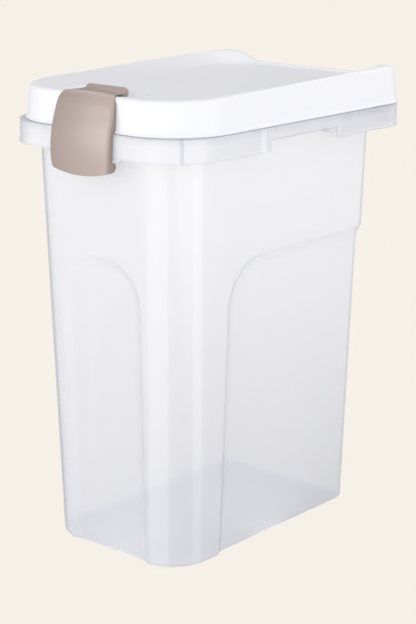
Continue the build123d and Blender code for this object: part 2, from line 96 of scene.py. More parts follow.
def spaced(stops: Sequence[float], steps: Sequence[float]) -> Grid:
    """Numbers that run through stops, each stretch cut into equal parts no longer than its step.

    Args:
        stops: The numbers to run through.
        steps: The longest step of each stretch.

    Returns:
        The numbers, first and last stop included.
    """
    parts = [
        np.linspace(a, b, max(2, int(np.ceil(abs(b - a) / step)) + 1))[:-1]
        for a, b, step in zip(stops[:-1], stops[1:], steps)
    ]
    return np.concatenate(parts + [np.array([stops[-1]])])


def xyz(x: Any, y: Any, z: Any) -> Grid:
    """Points from their coordinates, each stretched to the shape of the widest."""
    return np.stack(np.broadcast_arrays(x, y, z), axis=-1).astype(float)


def arc_points(centre: Place, radius: float, angles: Grid) -> Grid:
    """Points of a circle at some angles."""
    return np.array(centre) + radius * np.stack([np.cos(angles), np.sin(angles)], axis=-1)


def quarter_round(steps: int) -> list[tuple[float, float]]:
    """Shares (in, down) of the radius from a rounded edge's side, level with its arc's middle, to its top."""
    return [(1 - cos(a), 1 - sin(a)) for a in np.linspace(0, QUARTER, steps + 1)]


def ray_meets(
    origins: Grid, rays: Grid, a: Grid, b: Grid, nearest: float, slack: float
) -> tuple[Grid, Grid]:
    """Where rays meet the stretch between two points: the two lines' crossing, by cross products.

    Args:
        origins: Where the rays start.
        rays: Their directions.
        a: The stretch's first end.
        b: Its other end.
        nearest: Crossings nearer than this don't count.
        slack: Share of the stretch that a crossing may lie past its ends.

    Returns:
        The distance along each ray, and whether it counts.
    """
    edge, offset = b - a, a - origins
    cross = rays[:, 0] * edge[1] - rays[:, 1] * edge[0]
    safe = np.where(np.abs(cross) < 1e-9, 1e-9, cross)
    along = (offset[:, 0] * edge[1] - offset[:, 1] * edge[0]) / safe
    place = (offset[:, 0] * rays[:, 1] - offset[:, 1] * rays[:, 0]) / safe
    meets = (along > nearest) & (place >= -slack) & (place <= 1 + slack) & (np.abs(cross) > 1e-9)
    return along, meets


# ---------------------------------------------------------------- surfaces


def grid_faces(rows: int, columns: int, closed_columns: bool, closed_rows: bool = False) -> Grid:
    """Quads between neighbouring rows and columns of a grid of vertices.

    Args:
        rows: Number of rows.
        columns: Number of columns.
        closed_columns: Whether the last column joins the first.
        closed_rows: Whether the last row joins the first.

    Returns:
        One row of four vertex numbers for each quad.
    """
    last_row, last_column = rows - (not closed_rows), columns - (not closed_columns)
    i, j = np.meshgrid(np.arange(last_row), np.arange(last_column), indexing="ij")
    i2, j2 = (i + 1) % rows, (j + 1) % columns
    quads = [i * columns + j, i * columns + j2, i2 * columns + j2, i2 * columns + j]
    return np.stack(quads, axis=-1).reshape(-1, 4)


@dataclass(frozen=True)
class Surface:
    """A surface: its points in millimetres, and its faces as lists of point numbers, turned outwards."""

    points: Grid
    faces: list[list[int]]

    @staticmethod
    def rings(points: Grid, low_pole: Optional[Place] = None, high_pole: Optional[Place] = None) -> "Surface":
        """Closed rings joined in their order, each end closed by a fan to a point or by a flat cap.

        Args:
            points: Rows by columns by three.
            low_pole: Point that closes the first ring, or none for a flat cap.
            high_pole: Point that closes the last ring, or none for a flat cap.

        Returns:
            The surface.
        """
        rows, columns, _ = points.shape
        vertices, faces = points.reshape(-1, 3), grid_faces(rows, columns, True).tolist()
        first, last = np.arange(columns)[::-1], np.arange(columns) + (rows - 1) * columns
        for ring, pole in ((first, low_pole), (last, high_pole)):
            if pole is None:
                faces.append(ring.tolist())
            else:
                fan = [ring, np.roll(ring, -1), np.full(columns, len(vertices))]
                faces += np.stack(fan, axis=1).tolist()
                vertices = np.vstack([vertices, [pole]])
        return Surface(vertices, faces)

    @staticmethod
    def swept(sections: Grid, closed: bool = True) -> "Surface":
        """A closed section carried round an outline, or along part of one with a flat cap at both ends.

        Args:
            sections: Section points by columns by three; a section turns from its outer foot up and inwards.
            closed: Whether it goes all the way round.

        Returns:
            The surface.
        """
        rows, columns, _ = sections.shape
        faces = grid_faces(rows, columns, closed, True).tolist()
        if not closed:
            ends = np.arange(rows) * columns
            faces += [ends.tolist(), (ends + columns - 1)[::-1].tolist()]
        return Surface(sections.reshape(-1, 3), faces)

    @staticmethod
    def joined(parts: Sequence["Surface"]) -> "Surface":
        """Several surfaces as one."""
        starts = np.cumsum([0] + [len(part.points) for part in parts]).tolist()
        faces = [[v + start for v in face] for part, start in zip(parts, starts) for face in part.faces]
        return Surface(np.vstack([part.points for part in parts]), faces)

    def make(self, name: str, crease: Optional[float] = None) -> bpy.types.Object:
        """The surface as an object at the origin, shaded smooth.

        Args:
            name: The piece's name.
            crease: Edges that turn by more than this many degrees stay crisp.

        Returns:
            The object, linked to the scene.
        """
        mesh = bpy.data.meshes.new(name)
        mesh.from_pydata((self.points * MM).tolist(), [], self.faces)
        mesh.validate()
        mesh.polygons.foreach_set("use_smooth", np.ones(len(mesh.polygons), bool))
        mesh.update()
        if crease is not None:
            mesh.set_sharp_from_angle(angle=radians(crease))
        made = bpy.data.objects.new(name, mesh)
        bpy.context.scene.collection.objects.link(made)
        return made


def lug_plate(
    low_x: float,
    high_x: float,
    pivot: Place,
    radius: float,
    strap: Sequence[Place],
    bore: float,
    chamfer: float = 0.4,
) -> Surface:
    """A plate across X with an eye: its outline is the farther of the eye's circle and the strap's edge.

    Args:
        low_x: Its left face.
        high_x: Its right face.
        pivot: The eye's y and z.
        radius: The eye's radius.
        strap: Corners (y, z) of the strap that carries the eye; may be empty.
        bore: Radius of the hole.
        chamfer: Width of the chamfer on its edges.

    Returns:
        The plate.
    """
    corners = np.array(strap, float).reshape(-1, 2) - np.array(pivot)
    angles = np.linspace(0, TAU, 97)[:-1]
    if len(corners):
        towards = np.arctan2(corners[:, 1], corners[:, 0]) % TAU
        angles = np.unique(np.round(np.concatenate([angles, towards]), 6))
    ray = arc_points((0, 0), 1.0, angles)
    reach = np.full(len(angles), radius)
    for a, b in zip(corners, np.roll(corners, -1, axis=0)):
        along, meets = ray_meets(np.zeros_like(ray), ray, a, b, 0.0, 1e-4)
        reach = np.where(meets, np.maximum(reach, along), reach)
    hole = np.full_like(reach, bore)
    rings = [
        (reach - chamfer, low_x),
        (reach, low_x + chamfer),
        (reach, high_x - chamfer),
        (reach - chamfer, high_x),
        (hole, high_x),
        (hole, low_x),
    ]
    points = [xyz(x, pivot[0] + r * ray[:, 0], pivot[1] + r * ray[:, 1]) for r, x in rings]
    faces = grid_faces(len(rings), len(angles), True, True)[:, ::-1]
    return Surface(np.concatenate(points), faces.tolist())


def bar(a: Place, b: Place, half_thickness: float, low: float, high: float) -> Surface:
    """An upright web from one point to another seen from above: a box along the line between them.

    Args:
        a: Its first end, x and y.
        b: Its second end, x and y.
        half_thickness: Half its thickness.
        low: Its foot.
        high: Its top.

    Returns:
        The web.
    """
    start, end = np.array(a, float), np.array(b, float)
    direction = (end - start) / np.linalg.norm(end - start)
    across = np.array([-direction[1], direction[0]]) * half_thickness
    flat = np.array([start - across, end - across, end + across, start + across])
    return Surface.rings(np.stack([xyz(flat[:, 0], flat[:, 1], z) for z in (low, high)]))


# ---------------------------------------------------------------- outlines seen from above


@dataclass(frozen=True)
class Plan:
    """A rectangle seen from above with one radius in front and one behind; a size may vary down the rows."""

    half_width: Any
    front: Any
    back: Any
    front_radius: Any
    rear_radius: Any

    def centres(self) -> tuple[Place, Place]:
        """The centres (x, y) of the right front corner's arc and of the right rear one's."""
        front = (self.half_width - self.front_radius, self.front + self.front_radius)
        return front, (self.half_width - self.rear_radius, self.back - self.rear_radius)


class Outline:
    """Columns round a rounded rectangle, counter-clockwise from the middle of its front.

    Each column has an outward direction, and lies a share of the way from the arc of one corner to another's.
    """

    def __init__(self, across: Grid, along: Grid, front_steps: int, rear_steps: int) -> None:
        """Lays the columns out.

        Args:
            across: Shares from -1 to 1 over the straight run of the front and the back.
            along: Shares from 0 to 1 over the straight run of each side, from front to back.
            front_steps: Steps round a front corner.
            rear_steps: Steps round a rear corner.
        """

        def run(a: int, b: int, quarters: int, shares: Sequence[float]) -> list[tuple]:
            """The columns of a straight run from corner a to corner b."""
            return [(a, b, quarters * QUARTER, share) for share in shares]

        def turn(corner: int, quarters: int, steps: int) -> list[tuple]:
            """The columns round one corner."""
            return [(corner, corner, quarters * QUARTER + k * QUARTER / steps, 0.0) for k in range(steps + 1)]

        side = [share for share in along if 0 < share < 1]
        flat = [(share + 1) / 2 for share in across if -1 < share < 1]
        columns = run(0, 1, -1, [share for share in flat if share >= 0.5])
        columns += turn(1, -1, front_steps) + run(1, 2, 0, side) + turn(2, 0, rear_steps)
        columns += run(2, 3, 1, [1 - share for share in reversed(flat)]) + turn(3, 1, rear_steps)
        columns += run(3, 0, 2, [1 - share for share in reversed(side)]) + turn(0, 2, front_steps)
        columns += run(0, 1, -1, [share for share in flat if share < 0.5])
        a, b, angle, self.share = np.array(columns).T
        self.corner_a, self.corner_b = a.astype(int), b.astype(int)
        self.outward = arc_points((0, 0), 1.0, angle).round(12)
        self.count = len(columns)

    def points(self, plan: Plan) -> tuple[Grid, Grid]:
        """Where each column meets an outline: each corner's centre plus its radius outwards, mixed by share.

        Args:
            plan: The outline, each size a number or a column of numbers, one for each row.

        Returns:
            The x and y of the points, rows by columns.
        """
        sign_x = np.array([-1, 1, 1, -1])

        def corner(which: Grid) -> tuple[Grid, Grid]:
            """The point of one corner's arc; the first two corners are in front."""
            radius = np.where(which < 2, plan.front_radius, plan.rear_radius)
            centre_x = sign_x[which] * (plan.half_width - radius)
            centre_y = np.where(which < 2, plan.front + radius, plan.back - radius)
            return centre_x + radius * self.outward[:, 0], centre_y + radius * self.outward[:, 1]

        (ax, ay), (bx, by) = corner(self.corner_a), corner(self.corner_b)
        return mix(ax, bx, self.share), mix(ay, by, self.share)

    def ring(self, x: Grid, y: Grid, inset: Any, level: Any) -> Grid:
        """Points of the outline moved inwards by an inset and set at a level."""
        return xyz(x - inset * self.outward[:, 0], y - inset * self.outward[:, 1], level)


# ---------------------------------------------------------------- materials


class Shade(Enum):
    """Colours of the bin's finishes and of its surroundings, as linear red, green and blue."""

    MILKY_WALL = (0.915, 0.915, 0.925)
    # The walls' tint darkens towards this towards the foot; the collar's painted shade mixes it in.
    MILKY_WALL_LOW = (0.60, 0.605, 0.64)
    MILKY_DEPTH = (0.355, 0.375, 0.425)
    WHITE = (0.895, 0.898, 0.91)
    WHITE_SHADED = (0.85, 0.85, 0.87)
    TAUPE = (0.51, 0.41, 0.362)
    # The latch's darker tone: random tone and its painted shade mix it in.
    TAUPE_DEEP = (0.225, 0.170, 0.142)
    STEEL = (0.62, 0.62, 0.63)
    STEEL_DARK = (0.42, 0.42, 0.44)
    RUBBER = (0.52, 0.53, 0.54)
    RUBBER_DARK = (0.44, 0.45, 0.46)
    BACKDROP = (0.912, 0.871, 0.807)
    PAPER_UNSEEN = (0.3, 0.3, 0.31)
    STUDIO_LIGHT = (0.97, 0.97, 0.995)
    UNLIT = (0.0, 0.0, 0.0)


def operator(kind: str, swapped: bool = False) -> Callable[["Socket", Any], "Socket"]:
    """The method behind an arithmetic sign.

    Args:
        kind: The Math node's operation.
        swapped: Whether the socket stands on the sign's right.

    Returns:
        The method, which adds the node.
    """

    def apply(self: "Socket", other: Any) -> "Socket":
        """The result of the sign."""
        return self.math(kind, *((other, self) if swapped else (self, other)))

    return apply


class Socket:
    """A value in a node tree; the usual signs on it add Math nodes."""

    def __init__(self, tree: "NodeTree", socket: bpy.types.NodeSocket) -> None:
        """Wraps one output socket."""
        self.tree, self.socket = tree, socket

    def math(self, kind: str, *values: Any, clamp: bool = False) -> "Socket":
        """A Math node of this kind on the values."""
        settings = {"operation": kind, "use_clamp": clamp}
        return self.tree.node("ShaderNodeMath", settings, dict(enumerate(values)))

    __add__, __radd__ = operator("ADD"), operator("ADD", True)
    __sub__, __rsub__ = operator("SUBTRACT"), operator("SUBTRACT", True)
    __mul__, __truediv__, __pow__ = operator("MULTIPLY"), operator("DIVIDE"), operator("POWER")

    def absolute(self) -> "Socket":
        """The value without its sign."""
        return self.math("ABSOLUTE", self)

    def clamped(self) -> "Socket":
        """The value held between 0 and 1."""
        return self.math("ADD", self, 0.0, clamp=True)

    def step(self, low: float, high: float) -> "Socket":
        """Zero below one number and one above another, with a straight ramp between them."""
        return self.math("MULTIPLY", self - low, 1.0 / (high - low), clamp=True)

    def window(self, low: float, low_end: float, high: float, high_end: float) -> "Socket":
        """One between two ramps, zero outside them."""
        return self.step(low, low_end) * (1.0 - self.step(high, high_end))


class NodeTree:
    """The node tree of one material or world, and the few kinds of node that they share."""

    def __init__(self, name: str, is_world: bool = False) -> None:
        """Makes the material, or the world, and its shader."""
        self.owner = (bpy.data.worlds if is_world else bpy.data.materials).new(name)
        self.owner.use_nodes = True
        self.nodes, self.links = self.owner.node_tree.nodes, self.owner.node_tree.links
        self.nodes.clear()
        self.output = self.nodes.new("ShaderNodeOutputWorld" if is_world else "ShaderNodeOutputMaterial")
        self.shader = self.nodes.new("ShaderNodeBackground" if is_world else "ShaderNodeBsdfPrincipled")
        self.links.new(self.shader.outputs[0], self.output.inputs["Surface"])

    def node(self, kind: str, settings: dict[str, Any], inputs: dict[Any, Any], output: Any = 0) -> Socket:
        """Adds a node: its settings first, then the values or links of its sockets.

        Args:
            kind: The node's type.
            settings: Its properties.
            inputs: Values or sockets by input name or number.
            output: Name or number of the output that is wanted.

        Returns:
            That output.
        """
        made = self.nodes.new(kind)
        for key, value in settings.items():
            setattr(made, key, value)
        for key, value in inputs.items():
            self.feed(made.inputs[key], value)
        return Socket(self, made.outputs[output])

    def feed(self, target: bpy.types.NodeSocket, value: Any) -> None:
        """Sets a socket, or links it when the value comes from another node.

        Args:
            target: The input socket.
            value: A socket, a number, a vector or a colour.
        """
        if isinstance(value, Socket):
            self.links.new(value.socket, target)
        elif hasattr(target.default_value, "__len__") and len(target.default_value) == 4 and len(value) == 3:
            target.default_value = (*value, 1)
        else:
            target.default_value = value

    def place(self) -> Socket:
        """Object coordinates, in metres."""
        return self.node("ShaderNodeTexCoord", {}, {}, "Object")

    def parts(self, vector: Socket) -> tuple[Socket, Socket, Socket]:
        """The three coordinates of a vector."""
        return tuple(self.node("ShaderNodeSeparateXYZ", {}, {0: vector}, axis) for axis in "XYZ")

    def vector(self, kind: str, inputs: dict[Any, Any], output: Any = 0) -> Socket:
        """A Vector Math node of this kind."""
        return self.node("ShaderNodeVectorMath", {"operation": kind}, inputs, output)

    def stretched(self, vector: Socket, scale: Place) -> Socket:
        """A vector with each coordinate multiplied."""
        return self.vector("MULTIPLY", {0: vector, 1: tuple(scale)})

    def noise(self, vector: Socket, scale: float, detail: float = 2.0, roughness: float = 0.5) -> Socket:
        """Fractal noise between 0 and 1, with features about 1/scale metres across."""
        inputs = {"Vector": vector, "Scale": scale, "Detail": detail, "Roughness": roughness}
        return self.node("ShaderNodeTexNoise", {}, inputs, "Fac")

    def mixed(self, factor: Any, a: Any, b: Any) -> Socket:
        """A colour between two colours."""
        return self.node("ShaderNodeMix", {"data_type": "RGBA"}, {0: factor, 6: a, 7: b}, 2)

    def lobe(self, direction: Socket, bearing: float, tightness: float) -> Socket:
        """A soft wedge round a bearing: (1/2 + cos/2) to a power, with cos that of the angle to the bearing.

        Args:
            direction: The direction, of any length.
            bearing: The wedge's middle in degrees, anticlockwise from X.
            tightness: The power.

        Returns:
            One at the middle, falling to nothing on the far side.
        """
        aim = (cos(radians(bearing)), sin(radians(bearing)), 0.0)
        cosine = self.vector("DOT_PRODUCT", {0: self.vector("NORMALIZE", {0: direction}), 1: aim}, "Value")
        return (cosine * 0.5 + 0.5) ** tightness

    def bump(self, height: Any, strength: float, distance: float) -> Socket:
        """A normal from a height."""
        inputs = {"Height": height, "Strength": strength, "Distance": distance}
        return self.node("ShaderNodeBump", {}, inputs, "Normal")

    def set(self, **values: Any) -> None:
        """Sets or links the shader's own sockets; underscores stand for blanks."""
        for key, value in values.items():
            self.feed(self.shader.inputs[key.replace("_", " ")], value)


@dataclass(frozen=True)
class MilkyPlastic:
    """Translucent polypropylene: thin, faintly blue-grey where more of it is seen, with soft flow marks, a
    painted glow and painted highlight bars.
    """

    name: str
    alpha: float = 0.30
    roughness: float = 0.24
    height: float = 0.417
    # Strength of the emission, which is painted glow.
    glow: float = 0.42
    gloss: float = 0.8
    density: float = 60.0
    # In metres: how fast the walls lean out, the floor's top, and the front corner's middle at the foot.
    # A painted highlight bar is four bearings round that corner, in degrees, and the strength of its painted
    # glow.
    lean: float = 0.0267
    floor_top: tuple[float, float] = (0.0030, 0.0046)
    corner: tuple[float, float] = (0.0407, 0.0891)
    bars: tuple[tuple[float, ...], ...] = ((50.0, 54.0, 75.0, 79.0, 0.24), (8.0, 12.0, 20.0, 24.0, 0.21))
    # Painted glow: a line along the foot as four heights in metres, and its strength there, at the sides and
    # everywhere.
    foot_line: tuple[float, ...] = (0.0036, 0.0042, 0.0052, 0.0060)
    foot_light: float = 0.4
    side_light: float = 0.26
    even_light: float = 0.53

    def build(self) -> bpy.types.Material:
        """Mixes a pale and a deeper tint by height and flow noise, adds a faint moulded ripple, and paints light
        in as emission.

        Returns:
            The material.
        """
        tree = NodeTree(self.name)
        place = tree.place()
        z = tree.parts(place)[2]
        rise = (z / self.height).clamped()
        base = 1.0 - z.step(*self.floor_top)
        flow = tree.noise(tree.stretched(place, (1.0, 1.0, 0.35)), 9.0, 3.0, 0.55) - 0.5
        grain = tree.noise(place, 900.0, 2.0, 0.6)
        ripple = tree.noise(tree.stretched(place, (1.0, 1.0, 0.5)), 38.0, 2.0, 0.5)
        deep = (self.depth(tree, place, rise, base) + flow * 0.2).clamped()
        tint = tree.mixed(deep, Shade.MILKY_WALL.value, Shade.MILKY_WALL_LOW.value)
        painted_light = self.painted_light(tree, place, rise)
        tree.set(
            Base_Color=tint,
            Roughness=self.roughness + flow * 0.12 + (grain - 0.5) * 0.06,
            Alpha=self.alpha + (1.0 - rise) * 0.06 + flow * 0.05 + base * 0.18,
            Normal=tree.bump(ripple * 0.8 + grain * 0.2, 0.10, 0.0006),
            # Painted light: the emission adds an even glow, brighter sides, a foot line and highlight bars.
            Emission_Color=tree.mixed(painted_light, Shade.UNLIT.value, tint),
            Emission_Strength=self.glow,
            Specular_IOR_Level=self.gloss,
            IOR=1.49,
        )
        inputs = {"Color": Shade.MILKY_DEPTH.value, "Density": self.density}
        loss = tree.node("ShaderNodeVolumeAbsorption", {}, inputs)
        tree.links.new(loss.socket, tree.output.inputs["Volume"])
        return tree.owner

    def depth(self, tree: NodeTree, place: Socket, rise: Socket, base: Socket) -> Socket:
        """How deep the tint is: darker towards the foot and in the floor."""
        return (1.0 - rise) * 0.66 + base * 0.2

    def painted_light(self, tree: NodeTree, place: Socket, rise: Socket) -> Any:
        """Painted light in the wall's glow: more in the sides, two painted highlight bars round each front
        corner, one along the foot.

        Args:
            tree: The material's nodes.
            place: Object coordinates.
            rise: Share of the bin's height.

        Returns:
            The painted light's strength, from 0 to 1.
        """
        x, y, z = tree.parts(place)
        across = x.absolute()
        side, ahead = across - (z * self.lean + self.corner[0]), y + z * self.lean + self.corner[1]
        turn = side.math("ARCTAN2", ahead * -1.0, side) * (180.0 / pi)
        at_corner = (side.step(-0.001, 0.001) * (1.0 - ahead.step(-0.001, 0.001))).clamped()
        first, second = (turn.window(*edges) * light for *edges, light in self.bars)
        bars = at_corner * (first + second) * (1.15 - rise * 0.55)
        foot = z.window(*self.foot_line)
        beside = across.step(0.080, 0.085) * rise
        return (bars + foot * self.foot_light + beside * self.side_light + self.even_light).clamped()


@dataclass(frozen=True)
class CollarPlastic(MilkyPlastic):
    """The collar's moulding: the same plastic, with painted shade and a painted highlight in its tint."""

    # Ramps in metres along Y for the rear panels' painted shade and the grip post's painted highlight, and how
    # far the corner webs' line, behind which shade is painted, passes from the bin's middle.
    panel: tuple[float, ...] = (0.0675, 0.0685, 0.1425, 0.1435)
    post: tuple[float, ...] = (-0.0515, -0.0495, -0.0435, -0.0415)
    web_line: float = 0.03669

    def depth(self, tree: NodeTree, place: Socket, rise: Socket, base: Socket) -> Socket:
        """The tint's depth, as a sum of painted shade: more under the lid, at the lip, on the sides and towards
        the back, in the rear panels, where the corner webs stand behind, and at the left front corner;
        a painted highlight makes it less at the grip's post.

        Args:
            tree: The material's nodes.
            place: Object coordinates.
            rise: Share of the bin's height; not used here.
            base: Whether it is in the floor; not used here.

        Returns:
            The depth of tint, from 0 to 1.
        """
        x, y, z = tree.parts(place)
        across = x.absolute()
        at_side = across.step(0.1095, 0.1115)
        under_lid = z.step(0.3955, 0.4005)
        lip = 1.0 - z.step(0.3815, 0.3845)
        backward = y.step(-0.15, 0.02)
        panel = at_side * y.window(*self.panel) * z.step(0.3842, 0.3852)
        post = at_side * y.window(*self.post)
        from_web = (across * sin(WEB_TURN) + y * cos(WEB_TURN) + self.web_line).absolute()
        web = 1.0 - from_web.step(0.0012, 0.0022)
        far_end = (1.0 - x.step(-0.100, -0.070)) * (1.0 - y.step(-0.125, -0.085))
        # Painted shade under the lid, at the lip, on the sides and towards the back, in the panels and behind the
        # webs.
        shaded = under_lid * 0.22 + lip * 0.16 + backward * 0.14 + panel * 0.14 + at_side * 0.14 + web * 0.45
        # Painted shade at the left front corner, and a painted highlight at the grip's post.
        return shaded + far_end * 0.7 - post * 0.34 + 0.14

    def painted_light(self, tree: NodeTree, place: Socket, rise: Socket) -> Any:
        """Painted glow in the collar: even all round."""
        return 1.0


@dataclass(frozen=True)
class SatinPlastic:
    """Opaque moulded plastic with a fine spark-eroded grain, slight unevenness of tone and gloss, and painted
    shade.
    """

    name: str
    colour: Shade
    shaded: Shade
    roughness: float
    grain_scale: float = 1500.0
    grain_strength: float = 0.16
    coat: float = 0.0

    def build(self) -> bpy.types.Material:
        """Mixes two tones by broad noise and the point attribute shade, and adds grain to gloss and normal.

        Returns:
            The material.
        """
        tree = NodeTree(self.name)
        place = tree.place()
        broad = tree.noise(place, 14.0, 3.0, 0.5)
        grain = tree.noise(place, self.grain_scale, 2.0, 0.65)
        wear = tree.noise(tree.stretched(place, (1.0, 3.0, 1.0)), 160.0, 4.0, 0.6)
        shade = tree.node("ShaderNodeAttribute", {"attribute_name": "shade"}, {}, "Fac")
        # Random tone from the noise; painted shade and highlight from the attribute shade, where a piece has it.
        tone = ((broad - 0.5) * 0.3 + (grain - 0.5) * 0.25 + 0.38 + shade * 0.7).clamped()
        tree.set(
            Base_Color=tree.mixed(tone, self.colour.value, self.shaded.value),
            Roughness=self.roughness + (wear - 0.5) * 0.12 + (grain - 0.5) * 0.1,
            Normal=tree.bump(grain * 0.75 + wear * 0.25, self.grain_strength, 0.0002),
            Coat_Weight=self.coat,
            Coat_Roughness=0.3,
            IOR=1.5,
        )
        return tree.owner


@dataclass(frozen=True)
class DrawnSteel:
    """Drawn steel wire, with fine lines along X and darker streaks."""

    name: str

    def build(self) -> bpy.types.Material:
        """Stretches noise along the wire for its colour, roughness and normal.

        Returns:
            The material.
        """
        tree = NodeTree(self.name)
        lines = tree.noise(tree.stretched(tree.place(), (0.03, 1.0, 1.0)), 2600.0, 3.0, 0.6)
        tree.set(
            Base_Color=tree.mixed(lines, Shade.STEEL.value, Shade.STEEL_DARK.value),
            Metallic=1.0,
            Roughness=0.26 + lines * 0.16,
            Normal=tree.bump(lines, 0.2, 0.0001),
        )
        return tree.owner


@dataclass(frozen=True)
class SoftRubber:
    """Pale seal rubber: matte, dusty, slightly mottled."""

    name: str

    def build(self) -> bpy.types.Material:
        """Mottles the tone and gives the surface a fine dull skin.

        Returns:
            The material.
        """
        tree = NodeTree(self.name)
        place = tree.place()
        mottle = tree.noise(place, 60.0, 4.0, 0.6)
        tree.set(
            Base_Color=tree.mixed(mottle, Shade.RUBBER.value, Shade.RUBBER_DARK.value),
            Roughness=0.62 + (mottle - 0.5) * 0.2,
            Normal=tree.bump(tree.noise(place, 1100.0, 2.0, 0.6), 0.25, 0.0002),
        )
        return tree.owner


def dress(made: bpy.types.Object, material: bpy.types.Material, body: str) -> bpy.types.Object:
    """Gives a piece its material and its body.

    Args:
        made: The piece.
        material: Its material.
        body: The body that it moves with.

    Returns:
        The same piece.
    """
    made.data.materials.clear()
    made.data.materials.append(material)
    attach(made, body)
    log.info("%s: %d faces, rides on %s", made.name, len(made.data.polygons), body)
    return made


# ---------------------------------------------------------------- tub


@dataclass
class Tub:
    """The tub's shell with its sunk panels, and the collar moulded round its mouth. Sizes in millimetres."""

    base_half_width: float = 84.7
    base_half_depth: float = 133.1
    front_radius: float = 44.0
    rear_radius: float = 16.0
    mouth_top: float = 417.0
    wall: float = 2.0
    floor: float = 2.6
    foot_radius: float = 4.5
    rim_radius: float = 0.9
    recess_depth: float = 4.5
    cove_run: float = 12.0
    arch_half_width: float = 49.3
    arch_top: float = 286.5
    arch_crown: float = 2.0
    arch_radius: float = 40.0
    arch_behind: float = -90.0
    arch_rows: tuple[float, float] = (222.0, 292.0)
    side_front: float = 66.0
    side_slant: float = 6.0
    side_top: float = 284.0
    side_radius: float = 46.0
    collar_top: float = 402.5
    collar_foot: float = 381.5
    collar_wall: float = 1.8
    collar_plan: Plan = Plan(112.9, -156.1, 170.7, 51.0, 23.0)
    collar_lip: float = 0.8
    collar_lip_height: float = 2.2
    collar_edge: float = 0.7
    apron_half_width: float = 41.0
    apron_drop: float = 2.3
    apron_slope: float = 3.0
    grip_front: float = -36.0
    grip_rear: float = 60.0
    grip_rise: float = 10.0
    panel_front: float = 68.0
    panel_rear: float = 143.0
    panel_margin: float = 3.2
    panel_sink: float = 0.6
    edge_gap: float = 0.15
    notch_half_width: float = 6.5
    notch_front: float = 160.9
    notch_foot: float = 385.6
    web_half: float = 0.9
    eye_radius: float = 4.4
    lug_half: float = 2.0
    latch_bore: float = 1.6
    hinge_bore: float = 2.0
    latch_lug_x: float = 22.0
    hinge_lug_offset: float = 8.5

    @property
    def under(self) -> float:
        """Height of the collar flange's underside."""
        return self.collar_top - self.collar_wall

    def wall_plan(self, height: Any, inset: Any = 0.0) -> Plan:
        """The wall's outline at a height: it grows by the lean with height, and moves in by inset.

        Args:
            height: The height, a number or a column of numbers.
            inset: How far inside the outer face.

        Returns:
            The outline.
        """
        grown = LEAN * height - inset
        half_width, half_depth = self.base_half_width + grown, self.base_half_depth + grown
        return Plan(half_width, -half_depth, half_depth, self.front_radius - inset, self.rear_radius - inset)

    def recess(self, x: Grid, y: Grid, z: Grid) -> Grid:
        """How far the wall is sunk at a point: full depth times 1 - (1 - t)^2, with t the run in from the edge.

        Args:
            x: The point's x.
            y: The point's y.
            z: The point's height.

        Returns:
            The depth, 0 outside the sunk panels.
        """
        below = 400.0
        arch_top = self.arch_top - self.arch_crown * (x / self.arch_half_width) ** 2
        arch = rounded_inside(x, z + below, self.arch_half_width, arch_top + below, self.arch_radius)
        arch = np.where(y < self.arch_behind, arch, -1.0)
        edge, radius = -self.side_front - self.side_slant * (1 - z / self.side_top), self.side_radius
        side = corner_inside(radius - y + edge, radius - self.side_top + z, radius)
        share = np.clip(np.maximum(arch, side) / self.cove_run, 0, 1)
        return self.recess_depth * (1 - (1 - share) ** 2)

    def shell(self) -> Surface:
        """One closed grid: under the floor, round the foot, up the wall, over the rim and down inside.

        Returns:
            The tub's shell.
        """
        outline = Outline(spaced((-1, 1), (0.045,)), spaced((0, 0.06, 0.2, 1), (0.02, 0.0095, 0.022)), 18, 8)
        turn, rim_turn = np.linspace(0, QUARTER, 7), np.linspace(0, QUARTER, 5)[1:]
        inwards, upwards = 1 - np.sin(turn), 1 - np.cos(turn)
        heights = spaced((7, *self.arch_rows, self.mouth_top - self.rim_radius), (5.5, 1.55, 14))
        level = np.zeros(len(heights))
        rim_inset = self.rim_radius * (1 - np.cos(rim_turn))
        rim_rise = self.mouth_top - self.rim_radius * (1 - np.sin(rim_turn))
        inner_foot = self.foot_radius - self.wall
        outer_z = [self.foot_radius * upwards, heights, rim_rise]
        outer_inset = [self.foot_radius * inwards, level, rim_inset]
        inner_z = [self.floor + inner_foot * upwards, heights, rim_rise]
        inside_inset = [self.wall + inner_foot * inwards, self.wall + level, self.wall - rim_inset]
        z = np.concatenate([*outer_z, np.concatenate(inner_z)[::-1]])[:, None]
        inset = np.concatenate([*outer_inset, np.concatenate(inside_inset)[::-1]])[:, None]
        sunk = self.recess(*outline.points(self.wall_plan(z)), z)
        rings = outline.ring(*outline.points(self.wall_plan(z, inset)), sunk, z)
        shrink = np.array([0.03, 0.2, 0.5, 0.8, 0.95])[:, None, None]
        middle = np.array([0.0, 0.0, 1.0])
        under = rings[:1] * mix(shrink, 1.0, middle)
        inside = rings[-1:] * mix(shrink[::-1], 1.0, middle)
        return Surface.rings(np.concatenate([under, rings, inside]), (0, 0, 0), (0, 0, self.floor))

    def collar_outline(self) -> Outline:
        """The collar's columns, with two close together at each edge of a grip, panel, apron and notch.

        Returns:
            The outline.
        """
        plan = self.collar_plan
        (front_run, run_front), (rear_run, run_back) = plan.centres()
        edges = (self.grip_front, self.grip_rear, self.panel_front, self.panel_rear)
        marks = [edge + gap for edge in edges for gap in (-self.edge_gap, self.edge_gap)]
        stops = [run_front, *marks, run_back]
        along = (spaced(stops, [12.0] * (len(stops) - 1)) - run_front) / (run_back - run_front)
        notch = [(HINGE_SPREAD + side * self.notch_half_width) / rear_run for side in (-1, 1)]
        apron = [self.apron_half_width / front_run, (self.apron_half_width + self.apron_slope) / front_run]
        half = sorted(notch + apron)
        across = spaced([-1, *(-share for share in half[::-1]), *half, 1], [0.1] * 9)
        return Outline(across, along, 20, 10)

